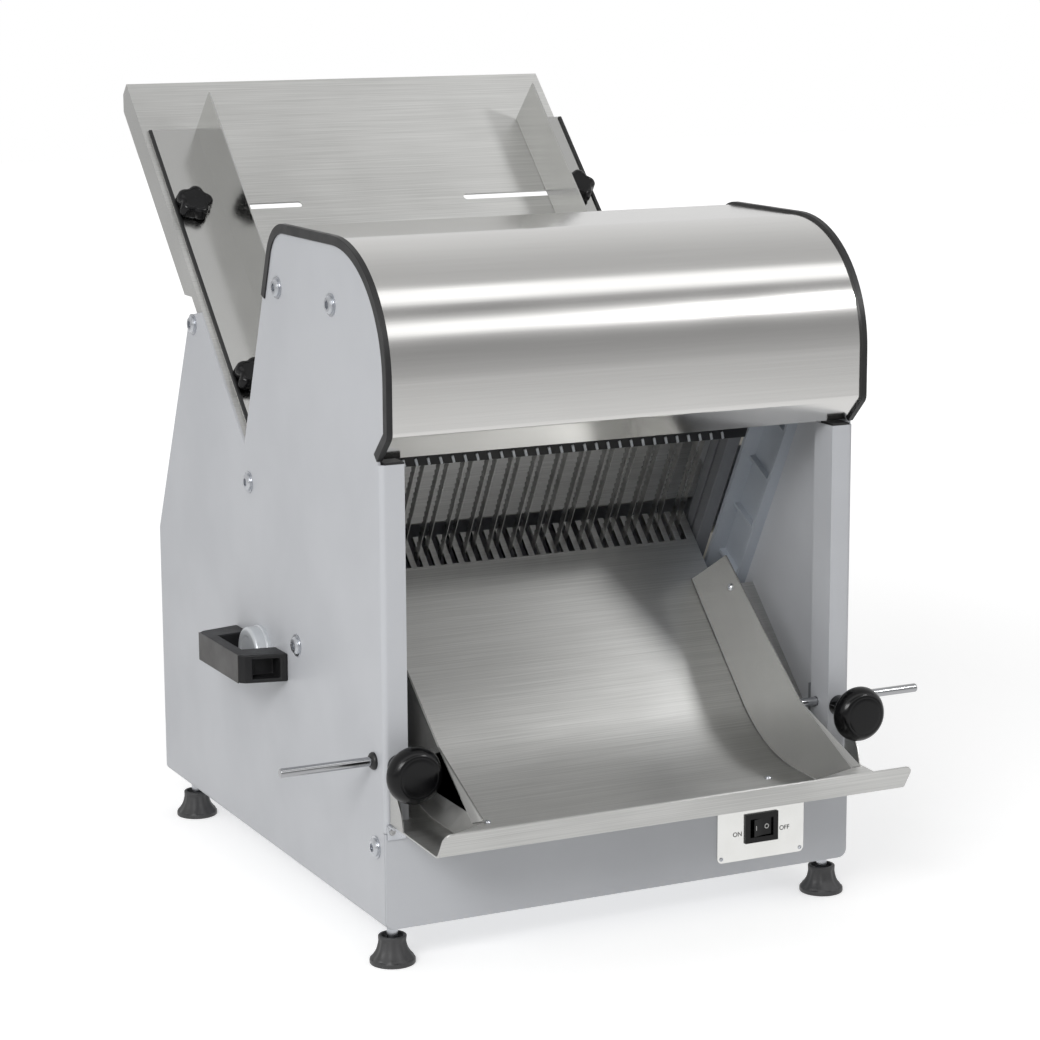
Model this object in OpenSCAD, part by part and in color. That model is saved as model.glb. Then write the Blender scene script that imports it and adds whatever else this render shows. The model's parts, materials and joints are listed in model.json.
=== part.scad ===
// Bench bread slicer: two blade frames saw in opposite phase between folded side panels.
// Loaves slide down a sloping hopper tray, through the blades and out over a curved chute.
// Inside the modules y = 0 is the posts' front face, y grows to the back, and z = 0 is the
// panels' lower edge. place() stands the machine on its feet, centred under its own outline.

/* [Body] */
// Width over the two side panels
body_w = 460; // [456:1:500]
// Depth of the side panels at the base
body_d = 560; // [550:1:620]
// Thickness of the painted side panels
panel_t = 2.5; // [2:0.5:3]
// Thickness of the stainless and cover sheets
sheet_t = 1.5; // [1:0.5:2]
// Width of the front posts folded from the side panels
post_w = 22; // [20:1:28]
// Depth of the posts' inner return
post_d = 30; // [28:1:36]
// Height of the posts' top above the panels' lower edge
post_h = 402; // [383:1:405]
// Outer radius of the posts' folded corner
post_bend = 5; // [4:0.5:8]
// Height of the front panel below the chute
kick_h = 85; // [77:1:87]
// Radius of the front panel's lower corners
kick_r = 8; // [4:1:12]
// Outer radius of the fold along the panels' lower edge
foot_bend = 6; // [5:0.5:8]
// Width of the panels' inward lower flange
flange_w = 34; // [30:1:50]
// Height of the upright part of the back
back_h = 252; // [220:1:280]
// Lean of the sloping part of the back, from upright
back_lean = 25; // [20:1:28]
// Height of the panels' rear shoulder
shoulder_z = 477; // [463:1:483]

/* [Hood] */
// Height of the hood's top
hood_top = 583; // [573:1:603]
// Distance that the hood stands in front of the posts
hood_front = 17; // [10:1:25]
// Radius of the hood's front curve
hood_r = 112; // [95:1:118]
// Radius of the hood's rear curve
hood_rear_r = 40; // [30:1:50]
// Place of the rear curve's centre behind the posts
hood_rear_y = 207; // [200:1:215]
// Lean of the hood's tail and of the notch's front edge, from upright
hood_lean = 21; // [18:1:24]
// Length of the hood's straight tail
hood_tail = 44; // [30:1:60]
// Height of the hood's lower front bend
chin_z = 431; // [431:1:443]
// Radius of the hood's lower front bend
chin_r = 8; // [4:1:12]
// Thickness of the rubber edge trim's legs
trim_t = 1.5; // [1:0.5:2]
// Depth of the rubber edge trim over the panel's edge
trim_d = 7; // [5:0.5:8]
// Depth of the hood's skin below the panels' edge
hood_sink = 1; // [0.5:0.5:3]

/* [Hopper] */
// Height of the slide plane at the posts' front face
slide_z = 57.5; // [53:0.5:61]
// Slope of the slide plane
slide_a = 45; // [44:0.5:46]
// Thickness of the hopper tray
tray_t = 2; // [1.5:0.5:3]
// Lower end of the tray along the slope
tray_s0 = 341; // [338:1:350]
// Upper end of the tray along the slope
tray_s1 = 892; // [860:1:910]
// Depth of the tray's turned-back edges
tray_edge = 27; // [20:1:32]
// Distance of the left guide's upright leg from the panel
left_guide_in = 57.5; // [46:0.5:90]
// Distance of the right guide's upright leg from the panel
right_guide_in = 45.5; // [45:0.5:90]
// Width of the guides' flat leg
guide_leg = 52; // [48:1:56]
// Height of the guides' upright leg
guide_h = 55; // [40:1:65]
// Lower end of the guides along the slope
guide_s0 = 403; // [395:1:440]
// Upper end of the guides along the slope
guide_s1 = 829; // [780:1:840]
// Place of the lower star knobs along the slope
knob_s0 = 517; // [500:1:560]
// Place of the upper star knobs along the slope
knob_s1 = 728; // [700:1:750]
// Distance of the star knobs from the guides' upright leg
knob_out = 33; // [31:0.5:33]
// Inner end of the tray's slots, from the middle
slot_x0 = 88; // [70:1:110]
// Radius of the star knobs' studs
stud_r = 3; // [2.5:0.5:4]
// Radius of the star knobs over their lobes
star_r = 18; // [16:0.5:20]
// Height of the star knobs' grip
star_h = 13; // [10:1:18]

/* [Chute] */
// Upper end of the chute along the slide plane
chute_s1 = 291.5; // [288:0.5:292]
// Height of the chute's floor at the posts' front face
chute_z = 96; // [95:0.5:99]
// Fall of the chute's floor towards the lip
chute_fall = 2; // [0:0.5:4]
// Radius of the bend between slope and floor
chute_r = 140; // [110:1:150]
// Distance of the lip's bend in front of the posts
lip_y = 94; // [80:1:110]
// Radius of the lip's bend
lip_r = 5; // [3:1:8]
// Rise of the lip above level
lip_a = 58; // [45:1:75]
// Length of the lip's flat
lip_len = 24; // [16:1:30]
// Where the chute widens to the panels, along the slide plane
wide_s = 238; // [220:1:240]
// Distance of the left chute guide from its post
left_fence_in = 20; // [18:1:60]
// Distance of the right chute guide from its post
right_fence_in = 44; // [18:1:60]
// Height of the chute guides' upper end above the slope
fence_h = 70; // [60:1:76]
// Upper end of the chute guides along the slide plane
fence_s1 = 248; // [235:1:255]
// Radius of the guide rods
rod_r = 4; // [3:0.5:5]
// Place of the guide rods behind the posts' front face
rod_y = 21; // [19:0.5:22]
// Height of the guide rods
rod_z = 145; // [137:1:153]
// Reach of the guide rods' tips beyond the panels
rod_out = 86; // [70:1:100]
// Radius of the clamp knobs
clamp_r = 25; // [20:1:28]
// Height of the clamp knobs in front of the posts
clamp_h = 47; // [40:1:54]
// Radius of the clamp knobs' screws
screw_r = 4; // [3:0.5:4]

/* [Blades] */
// Room between the comb and a panel, for a frame's side member and its rail
rail_room = 41.5; // [39:0.5:46]
// Pitch of the blades, which is the slice thickness
pitch = 12; // [10:0.5:14]
// Thickness of a blade
blade_t = 0.6; // [0.5:0.1:1]
// Depth of a blade from spine to tooth tips
blade_d = 8; // [7:0.5:9]
// Height of a tooth
tooth_h = 2; // [1:0.25:3]
// Pitch of the teeth
tooth_p = 6; // [5:0.5:8]
// Lean of the blades from upright
lean = 29; // [28:0.5:30]
// Where the front blades meet the slide plane, along the slope
blade_s = 296; // [295:0.5:297]
// Half the stroke of the blade frames
half_stroke = 14.5; // [12:0.5:15]
// Depth of a frame's bars and side members
bar_d = 12; // [12:0.5:13]
// Height of a frame's bars
bar_h = 22; // [18:1:26]
// Lower end of the blades, below the slide plane
blade_low = 36; // [34:1:38]
// Upper end of the blades, above the slide plane
blade_high = 142; // [134:1:146]
// Distance from the front to the rear blade row
row_step = 14.5; // [14.5:0.5:15]
// Width of a frame's side members
stile_w = 14; // [10:1:14]
// Width of the comb's slots
comb_slot = 6; // [5:0.5:7]
// Thickness of the comb's fingers
comb_t = 4; // [3:0.5:5]
// Reach of the comb's fingers along the slope
comb_len = 35; // [34:0.5:36]

/* [Drive] */
// Place of the rocker shaft behind the posts
rocker_y = 281; // [276:1:286]
// Height of the rocker shaft
rocker_z = 183; // [178:1:187]
// Radius of the rocker shaft
rocker_r = 11; // [9:0.5:12]
// Length of a rocker arm from the shaft to a frame's pin
arm_len = 60; // [56:1:64]
// Thickness of the rocker arms
arm_t = 8; // [6:1:9]
// Radius of the frames' pins
pin_r = 5; // [4:0.5:6]
// Length of the drive arm below the rocker shaft
drive_len = 70; // [64:1:74]
// Place of the crankshaft behind the posts
crank_y = 395; // [385:1:400]
// Height of the crankshaft
crank_z = 121; // [115:1:127]
// Radius of the crankshaft
crank_r = 10; // [8:0.5:12]
// Throw of the crank
crank_throw = 17; // [14:0.5:18]
// Radius of the crank pin
crank_pin_r = 8; // [6:0.5:9]
// Place of the crank disc across the machine
crank_x = 104; // [104:1:112]
// Radius of the driven pulley's belt seat
pulley_r = 66; // [56:1:68]
// Radius of the motor pulley's belt seat
motor_pulley_r = 22; // [18:0.5:24]
// Width of the belt
belt_w = 12; // [8:1:14]
// Thickness of the belt
belt_t = 4; // [3:0.5:5]
// Distance of the motor's shaft from the panels' rear edge
motor_back = 68; // [65:1:72]
// Height of the motor's shaft
motor_z = 67; // [65:1:71]
// Radius of the motor's body
motor_r = 50; // [42:1:52]
// Length of the motor's body
motor_len = 190; // [150:1:220]
// Radius of the motor's shaft
motor_shaft_r = 8; // [6:0.5:9]

/* [Fittings] */
// Height of the feet below the panels
foot_h = 36; // [32:1:44]
// Radius of the feet's pads
foot_r = 20; // [16:1:24]
// Radius of the feet's studs
foot_stud_r = 5; // [4:0.5:6]
// Distance of the feet from the panels' outer face
foot_in = 14; // [13:1:22]
// Place of the front feet behind the posts
foot_y0 = 20; // [16:1:24]
// Distance of the rear feet from the panels' rear edge
foot_back = 49; // [35:1:80]
// Radius of the bearing caps on the panels
cap_r = 26; // [24:1:30]
// Height of the bearing caps
cap_h = 15; // [12:1:18]
// Length of a side handle along the panel
handle_len = 130; // [120:1:140]
// Distance of a side handle's outer face from the panel
handle_out = 43; // [36:1:50]
// Height of a side handle's section
handle_h = 26; // [22:1:30]
// Thickness of a side handle's bar
handle_t = 12; // [10:1:16]
// Width of the switch plate
plate_w = 90; // [80:1:100]
// Height of the switch plate
plate_h = 58; // [50:1:60]
// Distance of the switch plate's middle from the right panel's outer face
plate_in = 92; // [80:1:110]
// Height of the switch above the panels' lower edge
switch_z = 41.5; // [39:0.5:44]
// Width of the switch's bezel
switch_w = 34; // [30:1:38]
// Height of the switch's bezel
switch_h = 27; // [24:1:30]
// Radius of the tie bars between the panels
tie_r = 8; // [7:0.5:9]
// Radius of the panel bolts' shanks
bolt_r = 4; // [3:0.5:5]

/* [Hidden] */
$fn = 64;
eps = 0.01;
// Clearances: sliding faces, running shafts, loose holes, and the seam between sheets
slip = 0.4;
run_fit = 0.05;
hole_fit = 0.5;
seam = 0.5;

half_w = body_w / 2;
half_in = half_w - panel_t;
foot_x = half_w - foot_in;
foot_y1 = body_d - foot_back;
motor_y = body_d - motor_back;
plate_x = half_w - plate_in;
rod_tip = half_w + rod_out;
base_t = 2;
base_top = panel_t + base_t;

// Directions in the (y, z) plane
slide_e = [cos(slide_a), sin(slide_a)];
slide_n = [-sin(slide_a), cos(slide_a)];
blade_n_dir = [cos(lean), sin(lean)];
blade_u_dir = [-sin(lean), cos(lean)];
function slide_at(s, h = 0) = [0, slide_z] + s * slide_e + h * slide_n;
function on_arc(c, r, a) = c + r * [cos(a), sin(a)];
function arc(c, r, a0, a1, n = 16) = [for (i = [0:n]) on_arc(c, r, a0 + (a1 - a0) * i / n)];
function reversed(list) = [for (i = [len(list) - 1:-1:0]) list[i]];
// Outline of a sheet of thickness t, to the left of the travel along a line of points
function left(p, q) = [p[1] - q[1], q[0] - p[0]] / norm(q - p);
function mitred(line, i, t) = let (
  a = left(line[max(i - 1, 0)], line[max(i, 1)]),
  b = left(line[min(i, len(line) - 2)], line[min(i + 1, len(line) - 1)])
) line[i] + t * (a + b) / (1 + a * b);
function sheet(line, t) = concat(line, [for (i = [len(line) - 1:-1:0]) mitred(line, i, t)]);

// Hood
hood_c = [hood_r - hood_front, hood_top - hood_r];
tail_c = [hood_rear_y, hood_top - hood_rear_r];
tail_top = on_arc(tail_c, hood_rear_r, hood_lean);
tail_dir = [sin(hood_lean), -cos(hood_lean)];
chin_c = [chin_r - hood_front, chin_z];
chin_low = on_arc(chin_c, chin_r, 225);
chin_end = chin_low + (post_bend - chin_low[0]) * [1, -1];
tail_end = tail_top + hood_tail * tail_dir;
// Hood line from the tail over the top to the chin, set inwards by off
function hood_line(off) = concat(
  [tail_end - off * [cos(hood_lean), sin(hood_lean)]],
  arc(tail_c, hood_rear_r - off, hood_lean, 90),
  arc(hood_c, hood_r - off, 90, 180, 24),
  arc(chin_c, max(chin_r - off, 0.3), 180, 225, 6),
  [chin_end + off * [1, 1] / sqrt(2)]
);

// Side panel outline: the notch lies between the hood's tail line and the slide plane
notch_k = (tail_top[1] - slide_z - tail_top[0] * tan(slide_a))
  / (cos(hood_lean) + tan(slide_a) * sin(hood_lean));
notch = tail_top + notch_k * tail_dir;
shoulder = [body_d - (shoulder_z - back_h) * tan(back_lean), shoulder_z];
rim_step = 30;
rim_y = shoulder[0] - rim_step;
panel_outline = concat(
  [[post_bend, foot_bend], [body_d, foot_bend], [body_d, back_h], shoulder],
  [[rim_y, slide_z + rim_y * tan(slide_a)], notch],
  arc(tail_c, hood_rear_r, hood_lean, 90),
  arc(hood_c, hood_r, 90, 180, 24),
  arc(chin_c, chin_r, 180, 225, 6),
  [chin_end]
);

// Chute: slope, bend, floor and lip
floor_e = [cos(chute_fall), sin(chute_fall)];
floor_n = [-sin(chute_fall), cos(chute_fall)];
corner_y = (chute_z - slide_z) / (tan(slide_a) - tan(chute_fall));
corner = [corner_y, slide_z + corner_y * tan(slide_a)];
bend_run = chute_r * tan((slide_a - chute_fall) / 2);
bend_c = corner + bend_run * slide_e + chute_r * slide_n;
lip_floor = [-lip_y, chute_z - lip_y * tan(chute_fall)];
lip_c = lip_floor + lip_r * floor_n;
lip_low = on_arc(lip_c, lip_r, 270 - lip_a);
lip_dir = [-cos(lip_a), sin(lip_a)];
lip_top = lip_low + lip_len * lip_dir;
chute_line = concat(
  [slide_at(chute_s1)],
  arc(bend_c, chute_r, 270 + slide_a, 270 + chute_fall, 20),
  arc(lip_c, lip_r, 270 + chute_fall, 270 - lip_a, 8),
  [lip_top]
);

// Widths across the blades and the drive's stations
comb_half = half_in - rail_room;
blade_n = 2 * floor(comb_half / pitch - 0.5 + eps);
stile_in = comb_half + 4;
stile_out = stile_in + stile_w;
rail_in = stile_out + 2;
rail_web = 5;
shoe_out = half_in - rail_web - slip;
arm_in = rail_in;
arm_out = arm_in + arm_t;
blade_o = slide_at(blade_s);
function blade_at(d, t) = blade_o + d * blade_n_dir + t * blade_u_dir;
rocker = [rocker_y, rocker_z];
rocker_d = (rocker - blade_o) * blade_n_dir;
rocker_t = (rocker - blade_o) * blade_u_dir;
crank = [crank_y, crank_z];
crank_pin = [crank_y, crank_z - crank_throw];
drive_pin = [rocker_y, rocker_z - drive_len];
motor_axis = [motor_y, motor_z];
disc_t = 10;
rod_t = 10;
rod_x = crank_x + disc_t + 1.5;
drive_x = rod_x + rod_t + 0.6;
drive_t = 12;
pulley_x = crank_x - 40;
pulley_w = belt_w + 8;
stand_t = 8;
stand_x = [pulley_x - 8 - stand_t, pulley_x + pulley_w + 8];
motor_x1 = pulley_x - 24;

// Places of the panel bolts and tie bars in the (y, z) plane
ties = [
  [hood_rear_y + 17, hood_top - 56], [hood_c[0] + 5, hood_top - 58], slide_at(414.7, -16.6),
  shoulder - [9, 8], [20, kick_h - 16]
];

// Rails: a ladder in front of two channels for the frames' shoes
ladder_d = 40;
rail_front = -slip - 4 - ladder_d;
rail_low = -52;
rail_high = blade_high + bar_h + half_stroke + 3;
rail_fix = blade_at(rail_front + 2, rail_low + 9);
fixings = concat(ties, [rail_fix]);

left_guide_x = half_in - left_guide_in;
right_guide_x = half_in - right_guide_in;
clamp_x = half_w - 12;
clamp_block = [17, 36, 26];
knob_hole = stud_r + run_fit;
guide_t = sheet_t;
tray_chamfer = 12;
back_tip = max(
  slide_at(tray_s1, tray_chamfer - tray_edge)[0],
  slide_at(tray_s1 - tray_chamfer, -tray_edge)[0]
);
front_tip = lip_top[0] - sheet_t * sin(lip_a);
centre_y = -(front_tip + back_tip) / 2;

// Moves the finished machine onto the floor, centred
module place() translate([0, centre_y, foot_h]) children();
module flip() mirror([1, 0, 0]) children();
module both() {
  children();
  flip() children();
}
// A (y, z) outline drawn out across the machine from x0 to x1
module yz(x0, x1) translate([x0, 0, 0]) rotate([90, 0, 90]) linear_extrude(x1 - x0) children();
module block(x0, x1, y0, y1, z0, z1) translate([x0, y0, z0]) cube([x1 - x0, y1 - y0, z1 - z0]);
// Round bars along x and along y
module bar_x(x0, x1, p, r) translate([x0, p[0], p[1]]) rotate([0, 90, 0]) cylinder(h = x1 - x0, r = r);
module bar_y(y0, y1, x, z, r) translate([x, y0, z]) rotate([-90, 0, 0]) cylinder(h = y1 - y0, r = r);
// Local y runs up the slide plane and local z stands off it
module on_slide() translate([0, 0, slide_z]) rotate([slide_a, 0, 0]) children();
// Local y runs back across the blades and local z runs up along them
module on_blades() translate([0, blade_o[0], blade_o[1]]) rotate([lean, 0, 0]) children();

// Right-hand side panel with its post and lower flange
module side_panel() {
  post_z = kick_h + seam;
  difference() {
    union() {
      yz(half_in, half_w) polygon(panel_outline);
      block(half_in, half_w, sheet_t + seam, post_bend, foot_bend, kick_h);
      translate([half_w - post_bend, post_bend, post_z]) rotate([0, 0, -90])
        rotate_extrude(angle = 90) translate([post_bend - panel_t, 0]) square([panel_t, post_h - post_z]);
      block(half_w - post_w, half_w - post_bend, 0, panel_t, post_z, post_h);
      block(half_w - post_w, half_w - post_w + panel_t, 0, post_d, post_z, post_h);
      translate([half_w - foot_bend, sheet_t + seam, foot_bend]) rotate([-90, 0, 0])
        rotate_extrude(angle = 90) translate([foot_bend - panel_t, 0])
          square([panel_t, body_d - sheet_t - seam]);
      block(half_w - flange_w, half_w - foot_bend, sheet_t + seam, body_d, 0, panel_t);
    }
    for (p = fixings) bar_x(half_in - 1, half_w + 1, p, bolt_r + hole_fit);
    bar_x(half_w - post_w - 1, half_w + 1, [rod_y, rod_z], rod_r + hole_fit);
    bar_y(-1, panel_t + 1, clamp_x, rod_z, screw_r + hole_fit);
    bar_x(half_in - 1, half_w + 1, rocker, rocker_r + 9);
    for (y = [foot_y0, foot_y1]) translate([foot_x, y, -1])
      cylinder(h = panel_t + 2, r = foot_stud_r + hole_fit);
  }
}
module left_side_panel() color("lightslategray") flip() side_panel();
module right_side_panel() color("lightslategray") side_panel();

// Rubber channel pushed over the panel's edge
module edge_trims() color("black") both() difference() {
  yz(half_in - trim_t, half_w + trim_t) polygon(concat(hood_line(-trim_t), reversed(hood_line(trim_d))));
  yz(half_in, half_w) polygon(concat(hood_line(0), reversed(hood_line(trim_d + 1))));
}

module hood() color("silver") {
  hood_half = half_in - trim_t - run_fit;
  yz(-hood_half, hood_half) polygon(sheet(hood_line(hood_sink), sheet_t));
}

module post_seals() color("black") both()
  block(half_w - post_w, half_in - trim_t - run_fit, 0, post_d - 10, post_h, post_h + 2);

module front_panel() color("lightslategray") difference() {
  union() {
    translate([0, sheet_t, 0]) rotate([90, 0, 0]) linear_extrude(sheet_t) {
      translate([-half_w, kick_r]) square([body_w, kick_h - kick_r]);
      translate([-half_w + kick_r, 0]) square([body_w - 2 * kick_r, kick_h]);
      for (s = [-1, 1]) translate([s * (half_w - kick_r), kick_r]) circle(r = kick_r);
    }
    block(-half_w + post_w + 1, half_w - post_w - 1, 0, 20, kick_h - sheet_t, kick_h);
  }
  block(plate_x - switch_w / 2 + 3, plate_x + switch_w / 2 - 3, -1, sheet_t + 1,
    switch_z - switch_h / 2 + 3, switch_z + switch_h / 2 - 3);
}

module base_plate() color("gray") difference() {
  union() {
    block(-half_w + foot_bend, half_w - foot_bend, sheet_t + seam, body_d - sheet_t - 2, panel_t, base_top);
    for (x = [-foot_x, foot_x], y = [foot_y0, foot_y1])
      translate([x, y, base_top]) cylinder(h = 8, r = foot_stud_r + 4);
  }
  for (x = [-foot_x, foot_x], y = [foot_y0, foot_y1])
    translate([x, y, 0]) cylinder(h = base_top + 10, r = foot_stud_r + run_fit);
}

// Rear cover, upright and then sloping forward under the tray, with rows of vents
vent_w = 70;
vent_h = 5;
gland_p = [-150, 40];
gland_r = 9;
module rear_cover() color("lightslategray") difference() {
  back_y = body_d - 1;
  rise = shoulder_z - back_h - 13;
  union() {
    yz(-half_in, half_in) polygon(sheet([[back_y, base_top], [back_y, back_h],
      [back_y - rise * tan(back_lean), back_h + rise]], sheet_t));
    block(-half_w + foot_bend, half_w - foot_bend, back_y - 16, back_y, base_top, base_top + sheet_t);
  }
  for (x = [-95, 95], i = [0:6])
    block(x - vent_w / 2, x + vent_w / 2, back_y - 5, back_y + 5, 90 + 14 * i, 90 + 14 * i + vent_h);
  bar_y(back_y - 10, back_y + 10, gland_p[0], gland_p[1], gland_r);
}

// Hopper tray: plate in the slide plane, edges turned back, four slots for the guides' studs
slot_r = stud_r + 0.5;
slot_x1 = half_in - 8;
module tray_slot(s) {
  for (x = [slot_x0 + slot_r, slot_x1 - slot_r])
    translate([x, s, -tray_t - 1]) cylinder(h = tray_t + 2, r = slot_r);
  block(slot_x0 + slot_r, slot_x1 - slot_r, s - slot_r, s + slot_r, -tray_t - 1, 1);
}
module hopper_tray() color("lightgray") on_slide() difference() {
  edge_s0 = 470;
  low_edge = 13;
  step_s = (shoulder - [0, slide_z]) * slide_e + 12;
  union() {
    block(-half_in, half_in, tray_s0, tray_s1, -tray_t, 0);
    both() yz(half_in - tray_t, half_in) polygon([
      [edge_s0, -tray_t], [edge_s0 + tray_chamfer, -low_edge], [step_s, -low_edge],
      [step_s + tray_edge - low_edge, -tray_edge], [tray_s1 - tray_chamfer, -tray_edge],
      [tray_s1, tray_chamfer - tray_edge], [tray_s1, -tray_t]
    ]);
    block(-half_in, half_in, tray_s1 - tray_t, tray_s1, tray_chamfer - tray_edge, 0);
  }
  both() {
    tray_slot(knob_s0);
    tray_slot(knob_s1);
  }
}

// Discharge chute, cut narrow between the blade frames and notched around the posts
lip_half = half_w - 4;
module chute_sheet() difference() {
  far = body_d;
  lip_round = 8;
  yz(-half_in, half_in) polygon(sheet(chute_line, sheet_t));
  both() {
    on_slide() block(comb_half, far, wide_s, far, -10, 10);
    block(half_w - post_w - 1.5, far, -1.5, post_d + 1.5, 0, far);
    block(lip_half, far, -far, 0, 0, far);
    translate([lip_half - lip_round, lip_low[0], lip_low[1]]) rotate([180 - lip_a, 0, 0])
      translate([0, lip_len - lip_round, -1]) linear_extrude(sheet_t + 2) polygon(concat(
        [[1.08, -0.2] * lip_round], arc([0, 0], lip_round, 22.5, 67.5, 4),
        [[-0.2, 1.08] * lip_round, [-0.2, 2] * lip_round, [2, 2] * lip_round, [2, -0.2] * lip_round]));
  }
}

module discharge_chute() color("lightgray") {
  tab_h = 29;
  low = chute_z - sheet_t / 2;
  chute_sheet();
  both() yz(lip_half - sheet_t, lip_half) polygon([[-2.5, low], [-2.5, low + tab_h], [-14, low + tab_h],
    [-24, low + tab_h / 2], [-28, low - 28 * tan(chute_fall)]]);
}

module blade_comb() color("silver") on_slide() difference() {
  strip = 28;
  union() {
    block(-comb_half, comb_half, chute_s1, chute_s1 + comb_len, -comb_t, 0);
    block(-comb_half, comb_half, chute_s1 - strip, chute_s1 + 2, -sheet_t - comb_t, -sheet_t);
  }
  for (i = [0:blade_n - 1]) {
    x = (i - (blade_n - 1) / 2) * pitch;
    block(x - comb_slot / 2, x + comb_slot / 2, chute_s1 + 2, chute_s1 + comb_len + 1, -comb_t - 9, 1);
  }
}

// Right-hand blade rail, fixed to the panel by a bolt through its lower tab
rung_t = 3;
rung_pitch = 57;
lip_w = 11;
module blade_rail() difference() {
  rear_d = row_step + bar_d + slip;
  union() {
    on_blades() {
      block(half_in - rail_web, half_in, rail_front, rear_d + 4, rail_low, rail_high);
      block(half_in - lip_w, half_in, rail_front, rail_front + 3.5, rail_low, rail_high);
      block(rail_in, half_in, -slip - 4, -slip, rail_low, rail_high);
      block(rail_in + 2, half_in, bar_d + slip, row_step - slip, rail_low, rail_high);
      block(rail_in, half_in, rear_d, rear_d + 4, rail_low, rail_high);
      for (i = [-1:2]) {
        t = 38 + rung_pitch * i;
        block(half_in - lip_w, half_in, rail_front, -slip, t, t + rung_t);
      }
    }
    bar_x(half_in - rail_web, half_in, rail_fix, bolt_r + 7);
  }
  bar_x(rail_in - 1, half_in + 1, rail_fix, bolt_r);
}
module left_blade_rail() color("gray") flip() blade_rail();
module right_blade_rail() color("gray") blade_rail();

module tie_bars() color("gray") for (p = ties) difference() {
  bar_x(-half_in, half_in, p, tie_r);
  both() bar_x(half_in - 28, half_in + 1, p, bolt_r);
}
module panel_bolts() color("silver") both() for (p = fixings) difference() {
  reach = p == rail_fix ? rail_web : 24;
  union() {
    bar_x(half_w, half_w + 1.2, p, bolt_r + 6);
    bar_x(half_w, half_w + 2.5, p, bolt_r + 4);
    translate([half_w + 2.5, p[0], p[1]]) rotate([0, 90, 0])
      cylinder(h = 1.7, r1 = bolt_r + 4, r2 = bolt_r + 2);
    bar_x(half_in - reach, half_w + 1, p, bolt_r - 0.1);
  }
  translate([half_w + 1.7, p[0], p[1]]) rotate([0, 90, 0]) cylinder(h = 5, r = bolt_r, $fn = 6);
}

// Blade frames: d is the frame's front face, pin_d the place of its rocker pin
stile_low = -blade_low - bar_h;
module blade_frame(d, pin_d) on_blades() {
  near = pin_d < d ? 0 : bar_d;
  out = pin_d < d ? -1 : 1;
  for (t = [stile_low, blade_high]) block(-stile_out, stile_out, d, d + bar_d, t, t + bar_h);
  both() {
    block(stile_in, stile_out, d, d + bar_d, stile_low, blade_high + bar_h);
    yz(stile_in + 2, stile_out - 2) polygon([
      [d + near, stile_low + bar_h], [d + bar_d - near, stile_low],
      [pin_d - out * 6, rocker_t - 9], [pin_d + out * 7, rocker_t + 7]
    ]);
    bar_x(stile_in + 2, stile_out - 2, [pin_d, rocker_t], 11);
    bar_x(stile_out - 3, arm_out + 1.5, [pin_d, rocker_t], pin_r);
  }
}
module front_blade_frame() color("dimgray") blade_frame(0, rocker_d - arm_len);
module rear_blade_frame() color("dimgray") blade_frame(row_step, rocker_d + arm_len);

// Toothed blades of one frame: every other place, teeth towards the loaf. The two rows stand
// close together, each reaching into the gap between the frames' bars
row_gap = 0.5;
module blade_set(spine, first) on_blades() {
  tip = spine + blade_d;
  tooth_n = floor((blade_high - 6) / tooth_p);
  outline = concat(
    [[spine, blade_high], [spine, -blade_low], [tip - tooth_h, -blade_low], [tip - tooth_h, 0]],
    [for (i = [0:tooth_n - 1]) each [[tip, (i + 0.5) * tooth_p], [tip - tooth_h, (i + 1) * tooth_p]]],
    [[tip - tooth_h, blade_high]]
  );
  for (i = [first:2:blade_n - 1]) {
    x = (i - (blade_n - 1) / 2) * pitch;
    yz(x - blade_t / 2, x + blade_t / 2) polygon(outline);
  }
}
module front_blades() color("silver") blade_set(row_step - row_gap - blade_d, 0);
module rear_blades() color("silver") blade_set(bar_d + row_gap, 1);

shoe_len = 34;
module frame_shoes(d) on_blades() both() for (t = [4 - blade_low, blade_high - shoe_len])
  block(stile_out, shoe_out, d, d + bar_d, t, t + shoe_len);
module front_frame_shoes() color("ivory") frame_shoes(0);
module rear_frame_shoes() color("ivory") frame_shoes(row_step);

// Rocker: the shaft's arms push the two frames in opposite directions
module rocker_shaft() color("silver") bar_x(-half_w - 8, half_w + 8, rocker, rocker_r);
slot_clear = 0.7;
module rocker_arms() color("dimgray") on_blades() both() difference() {
  union() {
    bar_x(arm_in, arm_out, [rocker_d, rocker_t], rocker_r + 9);
    yz(arm_in, arm_out) polygon([for (s = [-1, 1], h = [-s, s])
      [rocker_d + s * arm_len, rocker_t + h * 12]]);
    for (s = [-1, 1]) bar_x(arm_in, arm_out, [rocker_d + s * arm_len, rocker_t], 12);
  }
  bar_x(arm_in - 1, arm_out + 1, [rocker_d, rocker_t], rocker_r);
  for (s = [-1, 1]) {
    for (k = [-1, 1])
      bar_x(arm_in - 1, arm_out + 1, [rocker_d + s * arm_len + 2.5 * k, rocker_t], pin_r + slot_clear);
    block(arm_in - 1, arm_out + 1, rocker_d + s * arm_len - 2.5, rocker_d + s * arm_len + 2.5,
      rocker_t - pin_r - slot_clear, rocker_t + pin_r + slot_clear);
  }
}
module drive_arm() color("dimgray") difference() {
  x1 = drive_x + drive_t;
  union() {
    bar_x(drive_x, x1, rocker, rocker_r + 9);
    yz(drive_x, x1) polygon([rocker + [-15, 0], drive_pin + [-12, 0], drive_pin + [12, 0], rocker + [15, 0]]);
    bar_x(drive_x, x1, drive_pin, 13);
    bar_x(x1, x1 + 5, drive_pin, 8);
  }
  bar_x(drive_x - 1, x1 + 1, rocker, rocker_r);
}

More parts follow.
